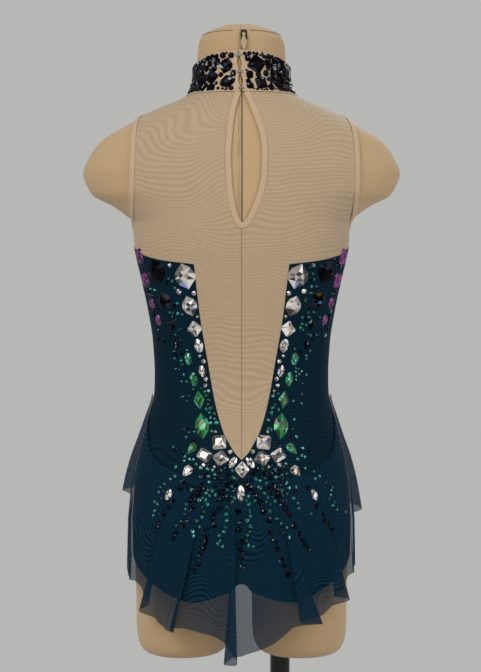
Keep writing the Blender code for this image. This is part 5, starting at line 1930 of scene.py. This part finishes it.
SCATTER = [
    # tries, share of black, smallest, largest, bottom, top, nearest to the V edge, farthest
    (420, 0.6, 3.8, 5.6, 440.0, 468.0, 4.0, 44.0),
    (130, 0.5, 3.2, 4.6, 428.0, 444.0, 4.0, 58.0),
    (60, 0.1, 3.2, 4.6, 452.0, 486.0, 38.0, 66.0),
    (60, 0.1, 3.2, 5.6, 498.0, 548.0, 4.0, 16.0),
    (26, 0.2, 2.6, 4.0, 560.0, 625.0, 18.0, 36.0),
    (46, 0.15, 2.8, 4.4, 622.0, 688.0, 18.0, 34.0),
    (40, 0.9, 2.8, 4.4, 596.0, 690.0, 36.0, 60.0),
    (150, 0.9, 3.0, 4.6, 600.0, 694.0, 50.0, 64.0),
    (16, 0.1, 2.4, 3.2, 500.0, 590.0, 20.0, 38.0),
    (16, 0.7, 2.8, 4.4, 476.0, 505.0, 24.0, 44.0),
]
SIDE_SHARE = 0.965


def scatter(put, random):
    """Small stones round the large ones, thinly up the sides and closely at the tip."""
    for tries, black, small, large, bottom, top, near, far in SCATTER:
        for side in (1, -1):
            for _ in range(tries):
                height = random.uniform(bottom, top)
                edge = float(v_edge(height)) if height > V_TIP_Z else 0.0
                x = side * (edge + random.uniform(near if edge else 0.0, far))
                colour = "black" if random.random() < black else "sea"
                if abs(x) < SIDE_SHARE * section_width(height):
                    put(colour, x, height, random.uniform(small, large))


SKIRT_COLUMNS = 300
PLEAT_COLUMNS = 61
SKIRT_ROWS = 40
SKIRT_SIDE_GAP = 0.0013


# Small steps over which the skirt's slope is taken
SKIRT_STEPS = {"step_one": 0.008, "step_two": -0.02}


def skirt_columns(first, last):
    """Columns of the skirt's mesh: even, and close together through each flat pleat."""
    marks = [np.linspace(first, last, SKIRT_COLUMNS)]
    for direction, width, depth, side, start in PLEATS:
        reach = (width / 2 + PLEAT_MARGIN) / SKIRT_RADIUS
        middle = math.radians(direction)
        marks.append(np.linspace(middle - reach, middle + reach, PLEAT_COLUMNS))
    marks = np.concatenate(marks)
    return np.unique(marks[(marks >= first) & (marks <= last)].round(5))


def build_skirt():
    for name, node, first, last, flat, area in (
        ("skirt_back_sheer", "skirt_back", -QUARTER, QUARTER, (0.62, 0.24), 0.1),
        ("skirt_front_sheer", "skirt_front", QUARTER, 3 * QUARTER, (0.55, 0.17), 0.045),
    ):
        turns = skirt_columns(first + SKIRT_SIDE_GAP, last - SKIRT_SIDE_GAP)
        turn, down = np.meshgrid(turns, np.linspace(0.0, 1.0, SKIRT_ROWS), indexing="ij")
        point, normal, _, _ = frame_of(skirt, turn, down, **SKIRT_STEPS)
        half = size_of("sheer") / 2
        outer = (point + normal * half).reshape(-1, 3)
        inner = (point - normal * half).reshape(-1, 3)
        faces = [face[::-1] for face in grid_faces(len(turns), SKIRT_ROWS)]
        uv = paired(length_along(point[:, -1])[:, None], point[..., 2])
        piece = add_cloth(name, node, "sheer", (outer, inner, faces), uv)


HARD_PARTS = [
    # node, finish, width of its rounded edges
    ("zip_slider", "dark", 0.2),
    ("zip_pull", "brass", 0.25),
    ("pole", "gloss", 0.6),
    ("base", "gloss", 1.6),
    ("neck_cap", "cover", 0.4),
    ("closure_bottom", "silver", 0.3),
    ("closure_middle", "silver", 0.3),
    ("closure_top", "silver", 0.3),
]


def restyle_nodes():
    """Better materials, and rounded edges, for the hard parts of the frame."""
    for node, key, width in HARD_PARTS:
        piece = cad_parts[node]
        piece.data.materials.clear()
        piece.data.materials.append(finish_of(key))
        bevel = piece.modifiers.new("soft_edge", "BEVEL")
        bevel.width = width * MM
        bevel.segments = 3


FLOOR_RADIUS = 1.12
FLOOR_SIDES = 96
FLOOR_LEVEL = -0.0005
FLOOR_COLOUR = (0.62, 0.61, 0.59)
WORLD_COLOUR = (0.5, 0.5, 0.485, 1.0)
WORLD_STRENGTH = 0.95
LIGHT_AIM = (0.0, 0.0, 0.6)
LIGHTS = [
    # name, place, width, power, colour
    ("key_light", (-1.3, -2.2, 2.3), 1.6, 34.0, (1.0, 0.98, 0.95)),
    ("fill_light", (1.8, -1.6, 1.3), 1.8, 13.0, (0.97, 0.98, 1.0)),
    ("front_light", (0.9, 2.4, 2.2), 1.8, 26.0, (1.0, 1.0, 1.0)),
]
CAMERA_PLACE = (-0.0011, -2.0, 0.6045)
CAMERA_LENS = 95.7
CAMERA_SENSOR = 36.0


def build_floor(scene):
    """A pale round floor under the base."""
    mesh = bpy.data.meshes.new("floor")
    turns = 2 * HALF_TURN * np.arange(FLOOR_SIDES) / FLOOR_SIDES
    x = FLOOR_RADIUS * np.cos(turns)
    rim = np.stack([x, FLOOR_RADIUS * np.sin(turns), np.full(FLOOR_SIDES, FLOOR_LEVEL)], -1)
    mesh.from_pydata(rim.tolist(), [], [tuple(range(FLOOR_SIDES))])
    mesh.materials.append(Finish("pale_floor", FLOOR_COLOUR, 0.8).made)
    floor = bpy.data.objects.new("floor", mesh)
    scene.collection.objects.link(floor)


def build_lights(scene):
    """Soft lights from three sides and an even sky."""
    world = bpy.data.worlds.new("studio")
    world.use_nodes = True
    background = world.node_tree.nodes["Background"]
    background.inputs["Color"].default_value = WORLD_COLOUR
    background.inputs["Strength"].default_value = WORLD_STRENGTH
    scene.world = world
    scene.view_settings.view_transform = "Standard"
    for name, place, width, power, colour in LIGHTS:
        light = bpy.data.lights.new(name, "AREA")
        light.energy = power
        light.size = width
        light.color = colour
        lamp = bpy.data.objects.new(name, light)
        lamp.location = place
        aim = Vector(LIGHT_AIM) - Vector(place)
        lamp.rotation_euler = aim.to_track_quat("-Z", "Y").to_euler()
        scene.collection.objects.link(lamp)


def build_camera(scene):
    """Camera straight behind the garment, at the height of its waist."""
    camera = bpy.data.objects.new("camera", bpy.data.cameras.new("camera"))
    camera.data.lens = CAMERA_LENS
    camera.data.sensor_width = CAMERA_SENSOR
    camera.location = CAMERA_PLACE
    camera.rotation_euler = (QUARTER, 0.0, 0.0)
    scene.collection.objects.link(camera)
    scene.camera = camera


def colour_setting(name, description, default):
    return bpy.props.FloatVectorProperty(
        name=name, description=description, default=default, size=3, min=0.0, max=1.0, subtype="COLOR",
    )


def length_setting(name, description, default, least, most):
    return bpy.props.FloatProperty(
        name=name, description=description, default=default, min=least, max=most,
        unit="LENGTH", subtype="DISTANCE", precision=5,
    )


class LeotardSizes(bpy.types.PropertyGroup):
    """Sizes of the cloth, the seams and the collar band"""

    cloth: length_setting("Stretch cloth", "Thickness of the opaque cloth", 0.0009, 0.0004, 0.0012)
    net: length_setting("Nude net", "Thickness of the nude net", 0.0005, 0.0003, 0.0007)
    sheer: length_setting("Sheer skirt", "Thickness of the skirt's net", 0.0003, 0.0002, 0.0006)
    seam: length_setting("Seams", "Width of the fine seams", 0.0009, 0.0005, 0.0015)
    collar: length_setting("Collar band", "Thickness of the collar band", 0.0016, 0.001, 0.0018)


class LeotardColours(bpy.types.PropertyGroup):
    """Colours of the cloth, the form and the stones"""

    teal: colour_setting("Stretch cloth", "Colour of the leotard's opaque cloth", (0.0016, 0.018, 0.034))
    net: colour_setting("Nude net", "Colour of the nude stretch net", (0.545, 0.395, 0.25))
    elastic: colour_setting("Elastic", "Colour of the bindings and the collar band", (0.70, 0.50, 0.32))
    sheer: colour_setting("Sheer skirt", "Colour of the skirt's net", (0.005, 0.038, 0.074))
    form: colour_setting("Form cover", "Colour of the dress form's knitted cover", (0.60, 0.41, 0.225))
    clear: colour_setting("Clear stones", "Colour of the clear crystals", (0.86, 0.83, 0.80))
    black: colour_setting("Black stones", "Colour of the black crystals", (0.0022, 0.0024, 0.0042))
    green: colour_setting("Green stones", "Colour of the green crystals", (0.012, 0.27, 0.06))
    magenta: colour_setting("Magenta stones", "Colour of the magenta crystals", (0.24, 0.028, 0.21))
    sea_green: colour_setting("Sea green stones", "Colour of the small crystals", (0.007, 0.20, 0.18))


class LEOTARD_OT_form(bpy.types.Operator):
    """Build the knitted cover of the dress form"""

    bl_idname = "leotard.form"
    bl_label = "Dress form"

    def execute(self, context):
        build_form()
        return {"FINISHED"}


class LEOTARD_OT_cloth(bpy.types.Operator):
    """Build the teal back and front"""

    bl_idname = "leotard.cloth"
    bl_label = "Stretch cloth"

    def execute(self, context):
        build_teal_cloth()
        return {"FINISHED"}


class LEOTARD_OT_nets(bpy.types.Operator):
    """Build the nude net of the back and the front"""

    bl_idname = "leotard.nets"
    bl_label = "Nude net"

    def execute(self, context):
        build_nets()
        return {"FINISHED"}


class LEOTARD_OT_bindings(bpy.types.Operator):
    """Build the elastic of the keyhole and the armholes"""

    bl_idname = "leotard.bindings"
    bl_label = "Bindings"

    def execute(self, context):
        build_bindings()
        return {"FINISHED"}


class LEOTARD_OT_collar(bpy.types.Operator):
    """Build the collar band"""

    bl_idname = "leotard.collar"
    bl_label = "Collar"

    def execute(self, context):
        build_collar()
        return {"FINISHED"}


class LEOTARD_OT_seams(bpy.types.Operator):
    """Build the fine seams and the line of the form's zip"""

    bl_idname = "leotard.seams"
    bl_label = "Seams"

    def execute(self, context):
        build_seams()
        return {"FINISHED"}


class LEOTARD_OT_collar_stones(bpy.types.Operator):
    """Set the black stones of the collar"""

    bl_idname = "leotard.collar_stones"
    bl_label = "Collar stones"

    def execute(self, context):
        build_collar_stones()
        return {"FINISHED"}


class LEOTARD_OT_skirt(bpy.types.Operator):
    """Build the sheer skirt"""

    bl_idname = "leotard.skirt"
    bl_label = "Skirt"

    def execute(self, context):
        build_skirt()
        return {"FINISHED"}


class LEOTARD_OT_large_stones(bpy.types.Operator):
    """Set the large stones of the back"""

    bl_idname = "leotard.large_stones"
    bl_label = "Large stones"

    def execute(self, context):
        build_large_stones()
        return {"FINISHED"}


class LEOTARD_OT_small_stones(bpy.types.Operator):
    """Set the small round stones"""

    bl_idname = "leotard.small_stones"
    bl_label = "Small stones"

    def execute(self, context):
        build_small_stones()
        return {"FINISHED"}


class LEOTARD_OT_hard_parts(bpy.types.Operator):
    """Finish the stand, the zip and the fastenings"""

    bl_idname = "leotard.hard_parts"
    bl_label = "Hard parts"

    def execute(self, context):
        restyle_nodes()
        return {"FINISHED"}


class LEOTARD_OT_stage(bpy.types.Operator):
    """Add the floor, the lights and the camera"""

    bl_idname = "leotard.stage"
    bl_label = "Stage"

    def execute(self, context):
        build_floor(context.scene)
        build_lights(context.scene)
        build_camera(context.scene)
        return {"FINISHED"}


OPERATORS = [
    LEOTARD_OT_form,
    LEOTARD_OT_cloth,
    LEOTARD_OT_nets,
    LEOTARD_OT_bindings,
    LEOTARD_OT_collar,
    LEOTARD_OT_seams,
    LEOTARD_OT_collar_stones,
    LEOTARD_OT_skirt,
    LEOTARD_OT_large_stones,
    LEOTARD_OT_small_stones,
    LEOTARD_OT_hard_parts,
    LEOTARD_OT_stage,
]


class LEOTARD_PT_sidebar(bpy.types.Panel):
    """Settings and steps of the leotard"""

    bl_label = "Leotard"
    bl_idname = "LEOTARD_PT_sidebar"
    bl_space_type = "VIEW_3D"
    bl_region_type = "UI"
    bl_category = "Leotard"

    def draw(self, context):
        for settings in (context.scene.leotard_sizes, context.scene.leotard_colours):
            for name in settings.__annotations__:
                self.layout.prop(settings, name)
        for operator in OPERATORS:
            self.layout.operator(operator.bl_idname)


CLASSES = [LeotardSizes, LeotardColours] + OPERATORS + [LEOTARD_PT_sidebar]


def register():
    for made in CLASSES:
        bpy.utils.register_class(made)
    bpy.types.Scene.leotard_sizes = bpy.props.PointerProperty(type=LeotardSizes)
    bpy.types.Scene.leotard_colours = bpy.props.PointerProperty(type=LeotardColours)


def unregister():
    del bpy.types.Scene.leotard_colours
    del bpy.types.Scene.leotard_sizes
    for made in reversed(CLASSES):
        bpy.utils.unregister_class(made)


def main():
    register()
    bpy.ops.leotard.form()
    bpy.ops.leotard.cloth()
    bpy.ops.leotard.nets()
    bpy.ops.leotard.bindings()
    bpy.ops.leotard.collar()
    bpy.ops.leotard.seams()
    bpy.ops.leotard.collar_stones()
    bpy.ops.leotard.skirt()
    bpy.ops.leotard.large_stones()
    bpy.ops.leotard.small_stones()
    bpy.ops.leotard.hard_parts()
    bpy.ops.leotard.stage()


if __name__ == "__main__":
    main()
